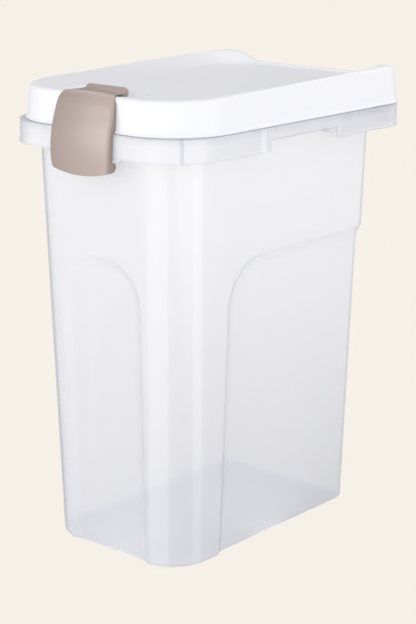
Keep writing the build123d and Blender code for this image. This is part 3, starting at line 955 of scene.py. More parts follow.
    def collar_sections(self, outline: Outline) -> Grid:
        """The collar's closed section at each column: skirt with lip and panel, rounded edge, and flange.

        Args:
            outline: The collar's columns.

        Returns:
            Section points by columns by three.
        """
        x, y = outline.points(self.collar_plan)
        at_side = np.abs(outline.outward[:, 0]) > 0.99
        in_grip = at_side & (y > self.grip_front) & (y < self.grip_rear)
        in_panel = at_side & (y > self.panel_front) & (y < self.panel_rear)
        apron = ease((self.apron_half_width + self.apron_slope - np.abs(x)) / self.apron_slope)
        apron = apron * (outline.outward[:, 1] < -0.99)
        foot = self.collar_foot + np.where(in_grip, self.grip_rise, -self.apron_drop * apron)
        lip = np.where(in_grip, 0.0, self.collar_lip)
        lip_top = foot + np.where(in_grip, 0.6, self.collar_lip_height)
        sink = np.where(in_panel, self.panel_sink, 0.0)
        low_panel, high_panel = self.collar_foot + self.panel_margin, self.collar_top - self.panel_margin
        skirt = [
            (self.collar_wall, foot),
            (0.45 - lip, foot),
            (-lip, foot + 0.45),
            (-lip, lip_top - 0.5),
            (-0.3 * lip, lip_top),
            (0.0, np.maximum(lip_top + 0.7, low_panel - 0.1)),
            (sink, np.maximum(lip_top + 0.9, low_panel + 0.25)),
            (sink, high_panel - 0.25),
            (0.0, high_panel + 0.1),
        ]
        edge = self.collar_edge
        skirt += [(edge * inwards, self.collar_top - edge * down) for inwards, down in quarter_round(4)]
        fillet = [(self.collar_wall + 0.8, self.under), (self.collar_wall, self.under - 0.8)]
        section = [outline.ring(x, y, *point) for point in skirt]
        section += [xyz(*outline.points(self.wall_plan(z, 1.0)), z) for z in (self.collar_top, self.under)]
        section += [outline.ring(x, y, *point) for point in fillet]
        return np.stack(section)

    def collar(self) -> Surface:
        """The collar: its section carried round and cut open at the two hinge notches, each with its stubs.

        Returns:
            The collar.
        """
        outline = self.collar_outline()
        sections = self.collar_sections(outline)
        x = outline.points(self.collar_plan)[0]
        at_back = outline.outward[:, 1] > 0.99
        near, far = HINGE_SPREAD - self.notch_half_width, HINGE_SPREAD + self.notch_half_width
        right, left = (np.flatnonzero(at_back & np.isclose(x, end, atol=0.01))[0] for end in (far, -far))
        within = np.flatnonzero(at_back & (np.abs(x) < near + 0.01))
        round_front = np.concatenate([np.arange(left, outline.count), np.arange(0, right + 1)])
        made = [Surface.swept(sections[:, part], False) for part in (round_front, within)]
        half_wall = self.collar_wall / 2
        wall_y, skirt_y = self.base_half_depth + LEAN * self.under - 1, self.collar_plan.back - half_wall
        shelf_y, shelf_half = (self.notch_front + wall_y) / 2, (self.notch_front - wall_y) / 2
        for side in (-1, 1):
            ends = [side * HINGE_SPREAD + end * self.notch_half_width for end in (-1, 1)]
            skirt, shelf = ([(x, y) for x in ends] for y in (skirt_y, shelf_y))
            made.append(bar(*skirt, half_wall, self.collar_foot, self.notch_foot))
            made.append(bar(*shelf, shelf_half, self.under, self.collar_top))
        return Surface.joined(made)

    def webs(self) -> Surface:
        """The thin webs between the wall and the collar: two at each grip and one across each front corner.

        Returns:
            The webs as one piece.
        """
        foot, under, plan = self.collar_foot, self.under + 0.5, self.collar_plan
        skirt, wall_x = plan.half_width - 0.6, self.base_half_width + LEAN * foot - 0.5
        centre = np.array(plan.centres()[0])
        corner = arc_points(centre, 1.0, np.array([-WEB_TURN]))[0] - centre
        made = []
        for side in (-1, 1):
            for y, low in ((self.grip_front - self.web_half, 0.4), (self.grip_rear + self.web_half, 4.0)):
                made.append(bar((side * wall_x, y), (side * skirt, y), self.web_half, foot + low, under))
            ends = [(centre + reach * corner) * (side, 1) for reach in (14.0, plan.front_radius - 0.6)]
            made.append(bar(*ends, self.web_half, foot + 5.0, under))
        return Surface.joined(made)

    def lugs(self) -> Surface:
        """The lugs under the collar that hold the latch's pin and the two hinge pins.

        Returns:
            The lugs as one piece.
        """
        foot, under, eye = self.collar_foot, self.under + 0.4, self.eye_radius
        half_wall, half = self.collar_wall / 2, self.lug_half
        skirt, back = self.collar_plan.front + half_wall, self.collar_plan.back - half_wall
        wall_y = -self.base_half_depth - LEAN * foot + 0.3
        y, z = LATCH_PIVOT
        latch_strap = [(y, z + 2.2), (skirt, foot), (skirt, under)]
        latch_strap += [(wall_y, under), (wall_y, foot + 7.0), (y + eye, z)]
        y, z = HINGE
        hinge_strap = [(y - eye, z), (y - eye, under), (back, under), (back, z)]
        spread = [side * HINGE_SPREAD + end * self.hinge_lug_offset for side in (-1, 1) for end in (-1, 1)]
        places = [(x, LATCH_PIVOT, latch_strap, self.latch_bore) for x in (-self.latch_lug_x, self.latch_lug_x)]
        places += [(x, HINGE, hinge_strap, self.hinge_bore) for x in spread]
        return Surface.joined([lug_plate(x - half, x + half, at, eye, *rest) for x, at, *rest in places])

    def build(self) -> None:
        """Makes and dresses the tub's pieces, which together stand for its CAD node."""
        wall = MilkyPlastic("milky_polypropylene").build()
        # The collar's and the webs' emission is painted glow; the collar's tint carries painted shade.
        collar = CollarPlastic("milky_collar", alpha=0.60, roughness=0.30, glow=0.06, density=12.0).build()
        web = MilkyPlastic("milky_web", alpha=0.7, height=1.2, glow=0.4).build()
        shell = self.shell().make("tub_shell")
        dress(shell, wall, "tub")
        dress(self.collar().make("tub_collar", 40), collar, "tub")
        dress(self.webs().make("tub_webs"), web, "tub")
        dress(self.lugs().make("tub_lugs", 25), collar, "tub")
        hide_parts("tub")


# ---------------------------------------------------------------- lid


@dataclass
class Lid:
    """The lid's moulding with its sunk top, its knuckles, and the rib with the seal. Millimetres."""

    bottom: float = 403.2
    half_width: float = 111.1
    front: float = -153.3
    back: float = 172.9
    front_radius: float = 59.0
    rear_radius: float = 23.0
    wall: float = 2.2
    front_top: float = 433.7
    peak: float = 440.0
    peak_fall: float = 0.006
    peak_fall_start: float = 145.0
    draw_in: float = 4.5
    edge_radius: float = 4.4
    side_edge_radius: float = 2.0
    rear_edge_radius: float = 6.0
    lip: float = 0.9
    lip_height: float = 1.8
    flat_level: float = 433.9
    flat_front: float = -143.0
    flat_rise: float = 0.0383
    crease_y: float = -48.0
    crease_half_width: float = 56.0
    flat_half_width: float = 45.0
    rim_half_width: float = 104.1
    panel_rear_half_width: float = 88.0
    panel_rear_level: float = 426.0
    panel_rear_edge: float = 160.4
    curve_start: float = 95.0
    curve_run: float = 50.0
    swing_start: float = 126.0
    swing_run: float = 40.0
    saddle_half_width: float = 59.0
    saddle_shoulder: float = 37.0
    saddle_level: float = 428.5
    dish_half_width: float = 44.0
    dish_half_length: float = 18.0
    dish_y: float = -126.3
    dish_depth: float = 5.5
    dish_slope: float = 9.0
    dish_radius: float = 16.0
    rib_foot: float = 419.35
    eye_radius: float = 4.6
    knuckle_half: float = 6.0
    knuckle_depth: float = 6.6
    knuckle_root: float = 8.0
    knuckle_bore: float = 2.08
    seal_foot: float = 417.3
    seal_top: float = 422.8
    seal_half: float = 3.0
    seal_radius: float = 1.2
    seal_chamfer: float = 0.6
    groove_half: float = 0.8
    groove_depth: float = 0.5

    def rim(self, y: Grid) -> Grid:
        """Height of the rim: an even rise to the back, less the square of the run past the peaks."""
        rise = (self.peak - self.front_top) * (y - self.front) / (self.back - self.front)
        return self.front_top + rise - self.peak_fall * np.clip(y - self.peak_fall_start, 0, None) ** 2

    def drawn(self, z: Grid) -> Grid:
        """How far the skirt has drawn in at a height."""
        return self.draw_in * (z - self.bottom) / (self.peak - self.bottom)

    def behind(self, y: Grid) -> Grid:
        """Share of the way from the crease to the back edge."""
        return np.clip((y - self.crease_y) / (self.back - self.crease_y), 0, 1)

    def panel(self, y: Grid) -> Grid:
        """Height of the panel's middle: level in front of the crease, then an even slope down to the back."""
        return mix(self.flat_level, self.panel_rear_level, self.behind(y))

    def cheek(self, x: Grid, y: Grid) -> Grid:
        """Height of the cheeks: an even rise from the foot line to the rim, an S-curve by the open saddle.

        Args:
            x: The points' x.
            y: The points' y.

        Returns:
            The height, also past the cheeks' ends.
        """
        forward = np.clip((y - self.flat_front) / (self.crease_y - self.flat_front), 0, 1)
        swing = ease((y - self.swing_start) / self.swing_run)
        ahead_foot = mix(self.flat_half_width, self.crease_half_width, forward)
        behind_foot = mix(self.crease_half_width, self.panel_rear_half_width, self.behind(y))
        foot = mix(np.where(y < self.crease_y, ahead_foot, behind_foot), self.saddle_half_width, swing)
        crest = mix(self.rim_half_width, self.saddle_half_width + self.saddle_shoulder, swing)
        past_foot, level = np.abs(x) - foot, self.panel(y)
        share = past_foot / np.maximum(crest - foot, 1.0)
        share = mix(share, ease(share), ease((y - self.curve_start) / self.curve_run))
        return np.where(y < self.crease_y, level + self.flat_rise * past_foot, mix(level, self.rim(y), share))

    def dish(self, x: Grid, y: Grid) -> Grid:
        """Depth of the finger dish: full depth times the eased run in from its outline.

        Args:
            x: The points' x.
            y: The points' y.

        Returns:
            The depth, 0 outside it.
        """
        size = (self.dish_half_width, self.dish_half_length, self.dish_radius)
        inside = rounded_inside(x, y - self.dish_y, *size)
        share = np.clip(inside / self.dish_slope, 0, 1)
        return self.dish_depth * (0.45 * share + 0.55 * ease(share))

    def height(self, x: Grid, y: Grid) -> Grid:
        """The lid's top: the lower of the rim and of the panel with its cheeks and rear step, less the dish.

        Args:
            x: The points' x.
            y: The points' y.

        Returns:
            Their heights.
        """
        step = mix(self.saddle_level, self.panel(y), ease((self.panel_rear_edge - y) / 2.5))
        sunk = smooth_max(smooth_max(self.panel(y), self.cheek(x, y), 1.0), step, 0.4)
        return smooth_min(self.rim(y), sunk, 1.0) - self.dish(x, y)

    def rounding(self, share: Grid) -> Grid:
        """Radius of the top edge along the side: it shrinks behind the front corner, and grows at the rear."""
        radius = mix(self.edge_radius, self.side_edge_radius, ease(share / 0.4))
        return radius + (self.rear_edge_radius - self.side_edge_radius) * ease((share - 0.74) / 0.26)

    def moulding(self) -> Surface:
        """One closed skin: a top grid that runs into rounded edges and a drawn-in skirt, and the same inside.

        Returns:
            The moulding.
        """
        plan = Plan(self.half_width, self.front, self.back, self.front_radius, self.rear_radius)
        (front_x, run_front), (rear_x, run_back) = plan.centres()
        low = self.drawn(self.front_top - self.edge_radius)
        high = self.drawn(self.peak - self.rear_edge_radius)
        front_arc = self.front_radius - low - self.edge_radius
        rear_arc = self.rear_radius - high - self.rear_edge_radius
        stops = (run_front, self.crease_y - 6, self.crease_y + 6, 120, run_back)
        share = ((spaced(stops, (3.2, 1.5, 3.4, 2.0)) - run_front) / (run_back - run_front))[1:-1]
        narrower = self.rounding(share) - mix(self.edge_radius, self.rear_edge_radius, share)
        side_x = mix(front_x + front_arc, rear_x + rear_arc, share) - narrower
        turn_front, turn_rear = np.linspace(-QUARTER, 0, 17), np.linspace(0, QUARTER, 19)
        front_corner = arc_points((front_x, run_front), front_arc, turn_front)
        rear_corner = arc_points((rear_x, run_back), rear_arc, turn_rear)
        side_line = np.stack([side_x, mix(run_front, run_back, share)], axis=-1)
        half_x, row_y = np.concatenate([front_corner, side_line, rear_corner]).T
        x = half_x[:, None] * spaced((-1, -0.75, 0.75, 1), (0.014, 0.03, 0.014))
        y = np.broadcast_to(row_y[:, None], x.shape)
        top, (rows, columns) = xyz(x, y, self.height(x, y)), x.shape
        number = np.arange(rows * columns).reshape(rows, columns)
        loop = np.concatenate([number[0], number[1:, -1], number[-1, -2::-1], number[-2:0:-1, 0]])
        turn = np.concatenate([turn_front, np.zeros(len(share)), turn_rear])
        ahead, astern = np.full(columns, -QUARTER), np.full(columns - 1, QUARTER)
        out = arc_points((0, 0), 1.0, np.concatenate([ahead, turn[1:], astern, pi - turn[-2:0:-1]])).round(12)
        blend = np.clip((top.reshape(-1, 3)[loop, 1] - run_front) / (run_back - run_front), 0, 1)
        rings = self.skirt(top.reshape(-1, 3)[loop], out, self.rounding(blend), mix(low, high, blend))
        shrink, centre = (1 - 0.4 / 104.0, 1 - 0.4 / 160.0, 1.0), np.array([0.0, 10.0, 0.0])
        under = (top - (0, 0, self.wall) - centre) * shrink + centre
        starts = rows * columns + len(loop) * np.arange(len(rings) + 1)
        numbers = [loop, *(start + np.arange(len(loop)) for start in starts[:-1]), starts[-1] + loop]
        quads = grid_faces(rows, columns, False)
        faces = quads.tolist() + (quads[:, ::-1] + starts[-1]).tolist()
        for upper, lower in zip(numbers[:-1], numbers[1:]):
            faces += np.stack([upper, lower, np.roll(lower, -1), np.roll(upper, -1)], axis=1).tolist()
        return Surface(np.vstack([top.reshape(-1, 3), *rings, under.reshape(-1, 3)]), faces)

    def skirt(self, edge: Grid, out: Grid, radius: Grid, drawn: Grid) -> list[Grid]:
        """Rings from the top's edge over the rounding, down the skirt, round its lip and up again inside.

        Args:
            edge: The points of the top's edge.
            out: The outward direction at each.
            radius: The rounding's radius at each.
            drawn: How far the skirt is drawn in at each.

        Returns:
            The rings.
        """
        inset_top, start_z, wall, bottom = drawn + radius, edge[:, 2] - radius, self.wall, self.bottom

        def ring(inset: Any, level: Any) -> Grid:
            """A ring of points at an inset from the skirt's foot outline."""
            shift = inset_top - inset
            return xyz(edge[:, 0] + shift * out[:, 0], edge[:, 1] + shift * out[:, 1], level)

        lip_top = bottom + self.lip_height
        inner_top = edge[:, 2] - wall
        inner_start = inner_top - np.maximum(radius - wall / 2, 1.2)
        outer_levels = [mix(lip_top + 0.9, start_z, share) for share in (1.0, 0.75, 0.5, 0.25, 0.06, 0.0)]
        inner_levels = [mix(bottom + 0.4, inner_start, share) for share in (0.33, 0.66, 1.0)]
        profile = [
            (mix(inset_top, self.drawn(start_z), cos(a)), start_z + radius * sin(a))
            for a in np.linspace(QUARTER, 0, 9)[1:-1]
        ]
        profile += [(self.drawn(level), level) for level in outer_levels]
        profile += [
            (-0.35 * self.lip, lip_top + 0.25),
            (-self.lip, lip_top - 0.5),
            (-self.lip, bottom + 0.5),
            (-self.lip + 0.5, bottom),
            (wall - 0.4, bottom),
            (wall, bottom + 0.4),
        ]
        profile += [(wall + self.drawn(level), level) for level in inner_levels]
        high, low = inset_top + 0.4, wall + self.drawn(inner_start)
        turn = np.linspace(0, QUARTER, 7)[1:-1]
        profile += [(mix(high, low, cos(a)), mix(inner_start, inner_top, sin(a))) for a in turn]
        return [ring(*point) for point in profile]

    def rib(self, tub: Tub) -> Surface:
        """The rib under the lid: a thin band over the middle of the tub's mouth wall, up into the lid's skin.

        Args:
            tub: The tub whose mouth it follows.

        Returns:
            The rib.
        """
        outline = Outline(spaced((-1, 1), (0.1,)), spaced((0, 1), (0.04,)), 12, 6)
        rows = []
        for inset, is_top in ((tub.wall, False), (0.0, False), (0.0, True), (tub.wall, True)):
            x, y = outline.points(tub.wall_plan(tub.mouth_top, inset))
            rows.append(xyz(x, y, self.height(x, y) - self.wall / 2 if is_top else self.rib_foot))
        return Surface.swept(np.stack(rows))

    def knuckles(self) -> Surface:
        """The two hinge knuckles under the lid's back edge.

        Returns:
            The knuckles as one piece.
        """
        (y, z), eye, half, root = HINGE, self.eye_radius, self.knuckle_half, self.bottom + self.knuckle_root
        back = y + eye
        strap = [
            (back - self.knuckle_depth, z),
            (back - self.knuckle_depth, root),
            (self.back - self.wall, root),
            (self.back - self.wall / 2, self.bottom),
            (back, self.bottom),
            (back, z),
        ]
        places = [side * HINGE_SPREAD for side in (-1, 1)]
        shape = (HINGE, eye, strap, self.knuckle_bore)
        return Surface.joined([lug_plate(x - half, x + half, *shape) for x in places])

    def seal(self, tub: Tub) -> Surface:
        """The soft seal: a rounded section with a shallow groove below, carried round over the tub's mouth.

        Args:
            tub: The tub whose mouth it closes on.

        Returns:
            The seal.
        """
        outline = Outline(spaced((-1, 1), (0.08,)), spaced((0, 1), (0.03,)), 16, 8)
        low, high, half, radius = self.seal_foot, self.seal_top, self.seal_half, self.seal_radius
        right = [(half - radius * inwards, low + radius * down) for inwards, down in quarter_round(4)]
        section = [(-across, level) for across, level in right[::-1]]
        cut, groove, deep = self.seal_chamfer, self.groove_half, low + self.groove_depth
        section += [(-half, high - cut), (-half + cut, high), (half - cut, high), (half, high - cut), *right]
        section += [(groove, low), (groove / 2, deep), (-groove / 2, deep), (-groove, low)]
        rows = []
        for across, level in section:
            x, y = outline.points(tub.wall_plan(tub.mouth_top, tub.wall / 2 + across))
            rows.append(xyz(x, y, level))
        return Surface.swept(np.stack(rows))

    def build(self, tub: Tub) -> None:
        """Makes and dresses the lid's pieces and the seal.

        Args:
            tub: The tub that the lid closes.
        """
        white = SatinPlastic("white_lid_plastic", Shade.WHITE, Shade.WHITE_SHADED, roughness=0.38).build()
        rubber = SoftRubber("seal_rubber_skin").build()
        moulding = self.moulding().make("lid_moulding")
        for piece in (moulding, self.rib(tub).make("lid_rib", 40), self.knuckles().make("lid_knuckles", 25)):
            dress(piece, white, "lid")
        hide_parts("lid")
        seal = dress(self.seal(tub).make("lid_seal_ring", 50), rubber, "lid")
        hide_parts("lid_seal")


# ---------------------------------------------------------------- latch


def circle_through(a: Place, b: Place, c: Place) -> tuple[Grid, float]:
    """The circle through three points, from the meeting of two middle lines.

    Args:
        a: First point.
        b: Second point.
        c: Third point.

    Returns:
        Its centre and its radius.
    """
    first, second, third = np.array(a), np.array(b), np.array(c)
    rows = np.array([second - first, third - first]) * 2
    centre = np.linalg.solve(rows, [second @ second - first @ first, third @ third - first @ first])
    return centre, float(np.hypot(*(first - centre)))


def tangent_arc(start: Grid, tangent: Grid, end: Grid, steps: int) -> Grid:
    """Points of the arc that leaves a point along a tangent and ends at another point.

    Args:
        start: Where it starts.
        tangent: The direction in which it leaves.
        end: Where it ends.
        steps: Number of steps.

    Returns:
        Its points, both ends included.
    """
    chord, normal = end - start, np.array([-tangent[1], tangent[0]])
    radius = chord @ chord / (2 * (chord @ normal))
    centre = start + normal * radius
    first, last = (atan2(point[1] - centre[1], point[0] - centre[0]) for point in (start, end))
    sweep = (last - first) % TAU if radius > 0 else -((first - last) % TAU)
    return arc_points(centre, abs(radius), first + np.linspace(0, sweep, steps + 1))


def inward_normals(line: Grid) -> Grid:
    """Unit normals of a line that rises up the face: its tangents turned clockwise, towards the bin."""
    tangent = np.gradient(line, axis=0)
    tangent /= np.linalg.norm(tangent, axis=1, keepdims=True)
    return np.stack([tangent[:, 1], -tangent[:, 0]], axis=-1)


@dataclass
class Latch:
    """The clip: a bowed face with two cheeks, a lip over the lid and a round grip bead. Millimetres."""

    foot: tuple[float, float] = (-164.98, 360.4)
    belly: tuple[float, float] = (-163.7, 399.5)
    brow: tuple[float, float] = (-159.7, 416.0)
    crest: tuple[float, float] = (-149.7, 436.7)
    shell: float = 2.6
    slot_shell: float = 1.9
    cheek: float = 2.8
    edge_radius: float = 2.3
    crown: float = 1.5
    valley: float = 0.9
    valley_run: float = 3.5
    ridge: float = 1.1
    ridge_shape: float = 1.7
    belly_half_width: float = 35.8
    widest_z: float = 400.5
    bow_reach: float = 36.0
    foot_narrowing: float = 1.6
    crest_narrowing: float = 2.4
    neck_half_width: float = 30.6
    neck_z: float = 427.0
    neck_run: float = 9.7
    neck_narrowing: float = 2.6
    sag_top: float = 380.0
    foot_sag: float = 4.0
    foot_curl: float = 4.0
    foot_half_width: float = 34.2
    slot_foot: float = 379.2
    barrel_radius: float = 5.0
    barrel_end: float = 34.3
    barrel_short: float = 0.8
    barrel_bore: float = 1.68
    barrel_chamfer: float = 0.5
    plate_thickness: float = 2.4
    bead_y: float = -126.8
    bead_z: float = 434.0
    bead_radius: float = 5.1
    bead_half_length: float = 24.0
    bead_dome: float = 3.4
    bead_lift: float = 1.6
    lift_before: float = 9.0
    lift_run: float = 6.0
    slot_x: float = 22.0
    slot_half_width: float = 2.6
    # What the clip keeps clear of, as y and z: the collar, the lid's lip and skirt, and the lid's front edge.
    past_collar: tuple[Place, ...] = ((-157.0, 355.0), (-157.0, 378.4), (-157.5, 378.4), (-157.5, 403.1))
    past_lip: tuple[Place, ...] = ((-154.8, 403.1), (-154.8, 406.1), (-153.9, 406.1))
    lid_edge: Place = (-145.604, 429.2)
    lid_edge_radius: float = 5.1
    lid_top: Place = (-110.0, 434.3)
    # Painted shade at the edges, to the left and in the valley; painted highlight to the right and on the crest.
    edge_shade: float = 0.6
    side_shade: float = 0.30
    valley_shade: float = 0.55
    crest_shade: float = 0.5

    @property
    def slot_edges(self) -> tuple[float, float]:
        """The near and the far edge of a lug's slot, from the middle."""
        return self.slot_x - self.slot_half_width, self.slot_x + self.slot_half_width

    def profile(self) -> tuple[Grid, Grid]:
        """The face seen from the side: an arc from the foot by the belly to the brow, then one over the crest.

        Returns:
            Points (y, z) from foot to bead, and for each its share of the foot's sag.
        """
        centre, radius = circle_through(self.foot, self.belly, self.brow)
        a0, a1 = (atan2(z - centre[1], y - centre[0]) % TAU for y, z in (self.foot, self.brow))
        lower = arc_points(centre, radius, np.linspace(a0, a1, 34))
        leaving = np.array([np.sin(a1), -np.cos(a1)])
        upper = tangent_arc(np.array(self.brow), leaving, np.array(self.crest), 20)
        outward = -inward_normals(upper)
        bulge = self.ridge * np.sin(pi * np.linspace(0, 1, len(upper)) ** self.ridge_shape)
        upper = upper + outward * bulge[:, None]
        run = np.linspace(self.crest[0], self.bead_y, 22)[1:]
        rise = self.bead_lift * ease((run - (self.bead_y - self.lift_before)) / self.lift_run)
        rise = rise - self.valley * ease((run - self.crest[0]) / self.valley_run)
        points = np.vstack([lower, upper[1:], np.stack([run, self.crest[1] + rise], axis=-1)])
        sag = np.clip((self.sag_top - points[:, 1]) / (self.sag_top - self.foot[1]), 0, 1)
        return points, sag

    def half_width(self, y: Grid, z: Grid) -> Grid:
        """Half the clip's width: a shallow barrel up the face, then straight sides in towards the bead.

        Args:
            y: The face points' y.
            z: The face points' height.

        Returns:
            Half the width at each.
        """
        above = (z - self.widest_z) / self.bow_reach
        face = self.belly_half_width - np.where(above < 0, self.foot_narrowing, self.crest_narrowing) * above**2
        neck = self.neck_narrowing * np.clip((z - self.neck_z) / self.neck_run, 0, 1) ** 2
        face = np.maximum(face - neck, self.neck_half_width)
        share = np.clip((y - self.crest[0]) / (self.bead_y - self.crest[0]), 0, 1)
        return np.where(y > self.crest[0], mix(self.neck_half_width, self.bead_half_length, share), face)

    def clearance_line(self) -> Grid:
        """The line that the cheeks' back edges follow: pivot, collar, lid lip, lid skirt, the lid's edge."""
        edge = arc_points(self.lid_edge, self.lid_edge_radius, np.linspace(pi, QUARTER, 8))
        return np.vstack([self.past_collar, self.past_lip, edge, [self.lid_top]])

    def hook_line(self) -> Grid:
        """The clearance line for the cheeks, which at the foot run out round the barrel's back."""
        line, turn = self.clearance_line(), np.linspace(-QUARTER, QUARTER, 13)
        return np.vstack([line[:1], arc_points(LATCH_PIVOT, self.barrel_radius, turn), line[2:]])

    def depth(self, points: Grid, normals: Grid, line: Grid) -> Grid:
        """Distance from each face point along its inward normal to a line.

        Args:
            points: The face points.
            normals: Their inward normals.
            line: The line's corners.

        Returns:
            The distances, at most 40.
        """
        best = np.full(len(points), 40.0)
        for a, b in zip(line[:-1], line[1:]):
            along, meets = ray_meets(points, normals, a, b, 0.2, 1e-6)
            best = np.where(meets, np.minimum(best, along), best)
        return best

    def offsets(
        self, half: Grid, radius: Grid, shell: Grid, slot: Grid, cheek: Grid
    ) -> list[tuple[Grid, Grid]]:
        """The U-shaped section as pairs of distance across and depth: round edges, face, cheeks, inside.

        Args:
            half: Half the width at each face point.
            radius: Radius of the face's edges.
            shell: Depth of the face's inside.
            slot: That depth at the lug slots.
            cheek: Depth of the cheeks.

        Returns:
            The pairs, once round.
        """
        gap, inner = 0.05, half - self.cheek
        left = [(-half + radius * inwards, radius * down) for inwards, down in quarter_round(6)]
        face = [((half - radius) * share, 0 * half) for share in np.linspace(-1, 1, 25)[1:-1]]
        right = [(-across, inward) for across, inward in left[::-1]]
        inside = [(half, cheek), (inner, cheek), (inner - gap, shell)]
        near, far = self.slot_edges
        into, out_of = (shell, slot), (slot, shell)
        for edge, (first, second) in zip((far, near, -near, -far), (into, out_of, into, out_of)):
            inside.append((np.minimum(edge + gap, inner - 2 * gap), first))
            inside.append((np.maximum(edge - gap, -inner + 2 * gap), second))
        inside += [(-inner + gap, shell), (-inner, cheek), (-half, cheek)]
        return left + face + right + inside

    def body(self) -> bpy.types.Object:
        """The clip's shell: its section carried up the side view. The attribute shade is painted shade and
        highlight:
        darker edges, cheeks, inside, valley and left side; lighter crest and right side.

        Returns:
            The clip without its barrel and bead.
        """
        points, sag = self.profile()
        normals = inward_normals(points)
        over_lid = points[:, 0] > self.crest[0] + 0.7
        thinnest = np.where(over_lid, 1.4, self.plate_thickness)
        thickest = np.where(over_lid, self.plate_thickness + 1.6, 40.0)
        deep = np.clip(self.depth(points, normals, self.clearance_line()), thinnest, thickest)
        lifted = points + np.stack([0 * sag, (self.foot_sag + self.foot_curl) * sag], axis=-1)
        cheek_deep = np.clip(self.depth(lifted, normals, self.hook_line()), thinnest, thickest)
        in_foot, thin = points[:, 1] < self.slot_foot, np.minimum(self.shell, deep)
        shell = np.where(in_foot, deep, thin)
        slot = np.where(in_foot, np.minimum(self.slot_shell, deep), thin)
        half = self.half_width(points[:, 0], points[:, 1])
        radius = np.minimum(self.edge_radius, deep * 0.8)
        rows = []
        for across, inward in self.offsets(half, radius, shell, slot, cheek_deep):
            crown = self.crown * np.clip(np.abs(across) / np.maximum(half, 1), 0, 1) ** 2
            crown = np.where(inward > 0.01 + radius, 0.0, crown)
            sunk = inward + np.minimum(crown, 0.5 * np.maximum(deep - inward, 0))
            y, z = (points + sunk[:, None] * normals).T
            lift = self.foot_sag + self.foot_curl * (across / self.foot_half_width) ** 2
            rows.append(xyz(across, y, z + lift * sag))
        sections = np.stack(rows)[::-1]
        clip = Surface.swept(sections, False).make("latch_clip", 38)
        # Painted shade at the edges, cheeks, inside, valley and left; painted highlight on the crest and to the
        # right.
        arc = self.edge_shade * np.linspace(1, 0, 7) ** 2
        shade = np.concatenate([arc, np.zeros(23), arc[::-1], np.ones(len(rows) - 37)])[::-1, None]
        valley = ease((points[:, 0] + 148.6) / 3.0) * (1 - ease((points[:, 0] + 137.0) / 4.0))
        crest = np.exp(-(((points[:, 0] + 150.6) / 1.5) ** 2))
        beside = self.side_shade * np.clip(-sections[:, :, 0] / 34.0, -1, 1)
        values = shade + beside + self.valley_shade * valley - self.crest_shade * crest
        values = values.reshape(-1).astype(np.float32)
        clip.data.attributes.new("shade", "FLOAT", "POINT").data.foreach_set("value", values)
        return clip

    def barrel(self) -> Surface:
        """The barrel round the pin, in three lengths between the lugs; the right end hides in its cheek."""
        near, far = self.slot_edges
        lengths = ((-self.barrel_end, -far), (-near, near), (far, self.barrel_end - self.barrel_short))
        section = (LATCH_PIVOT, self.barrel_radius, (), self.barrel_bore, self.barrel_chamfer)
        return Surface.joined([lug_plate(*run, *section) for run in lengths])

    def bead(self) -> Surface:
        """The grip bead: a circle carried along X whose radius closes at each end by a quarter ellipse.

        Returns:
            The bead.
        """
        end, dome = self.bead_half_length, self.bead_dome
        turn, angle = np.linspace(0, QUARTER, 9)[1:-1], np.linspace(0, TAU, 41)[:-1]
        right = end - dome + dome * np.sin(turn)
        along = np.concatenate([-right[::-1], np.linspace(dome - end, end - dome, 9), right])[:, None]
        radius = self.bead_radius * np.concatenate([np.cos(turn[::-1]), np.ones(9), np.cos(turn)])[:, None]
        points = xyz(along, self.bead_y + radius * np.cos(angle), self.bead_z + radius * np.sin(angle))
        return Surface.rings(points, (-end, self.bead_y, self.bead_z), (end, self.bead_y, self.bead_z))

    def build(self) -> None:
        """Makes and dresses the clip's pieces, which together stand for its CAD node."""
        grain = {"grain_scale": 1900.0, "grain_strength": 0.12}
        finish = SatinPlastic("taupe_latch_plastic", Shade.TAUPE, Shade.TAUPE_DEEP, 0.34, coat=0.5, **grain)
        taupe, body = finish.build(), self.body()
        for piece in (body, self.barrel().make("latch_barrel", 30), self.bead().make("latch_bead")):
            dress(piece, taupe, "latch")
        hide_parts("latch")


# ---------------------------------------------------------------- pins


@dataclass
class Pins:
    """The three steel pins, which keep their CAD shape."""

    nodes: tuple[str, ...] = ("latch_pin", "hinge_pin_left", "hinge_pin_right")

    def build(self) -> None:
        """Gives each pin its drawn steel."""
        steel = DrawnSteel("drawn_steel").build()
        for name in self.nodes:
            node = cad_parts[name]
            node.data.materials.clear()
            node.data.materials.append(steel)
            log.info("%s: CAD shape with drawn steel", name)


# ---------------------------------------------------------------- studio


@dataclass(frozen=True)
class AreaLight:
    """A soft light that looks at a point: metres and watts."""

    name: str
    place: Place
    size: tuple[float, float]
    power: float
    aim: Place = (0.0, 0.0, 0.22)

    def build(self) -> None:
        """Makes the light."""
        data = bpy.data.lights.new(self.name, "AREA")
        data.shape = "RECTANGLE"
        data.size, data.size_y = self.size
        data.energy = self.power
        stand(bpy.data.objects.new(self.name, data), self.place, Vector(self.aim) - Vector(self.place))


def stand(made: bpy.types.Object, place: Place, direction: Vector) -> None:
    """Puts a light or a camera at its place, looking along a direction.

    Args:
        made: The light or the camera.
        place: Where it stands.
        direction: Where it looks.
    """
    made.location = place
    made.rotation_mode = "QUATERNION"
    made.rotation_quaternion = direction.to_track_quat("-Z", "Y")
    bpy.context.scene.collection.objects.link(made)


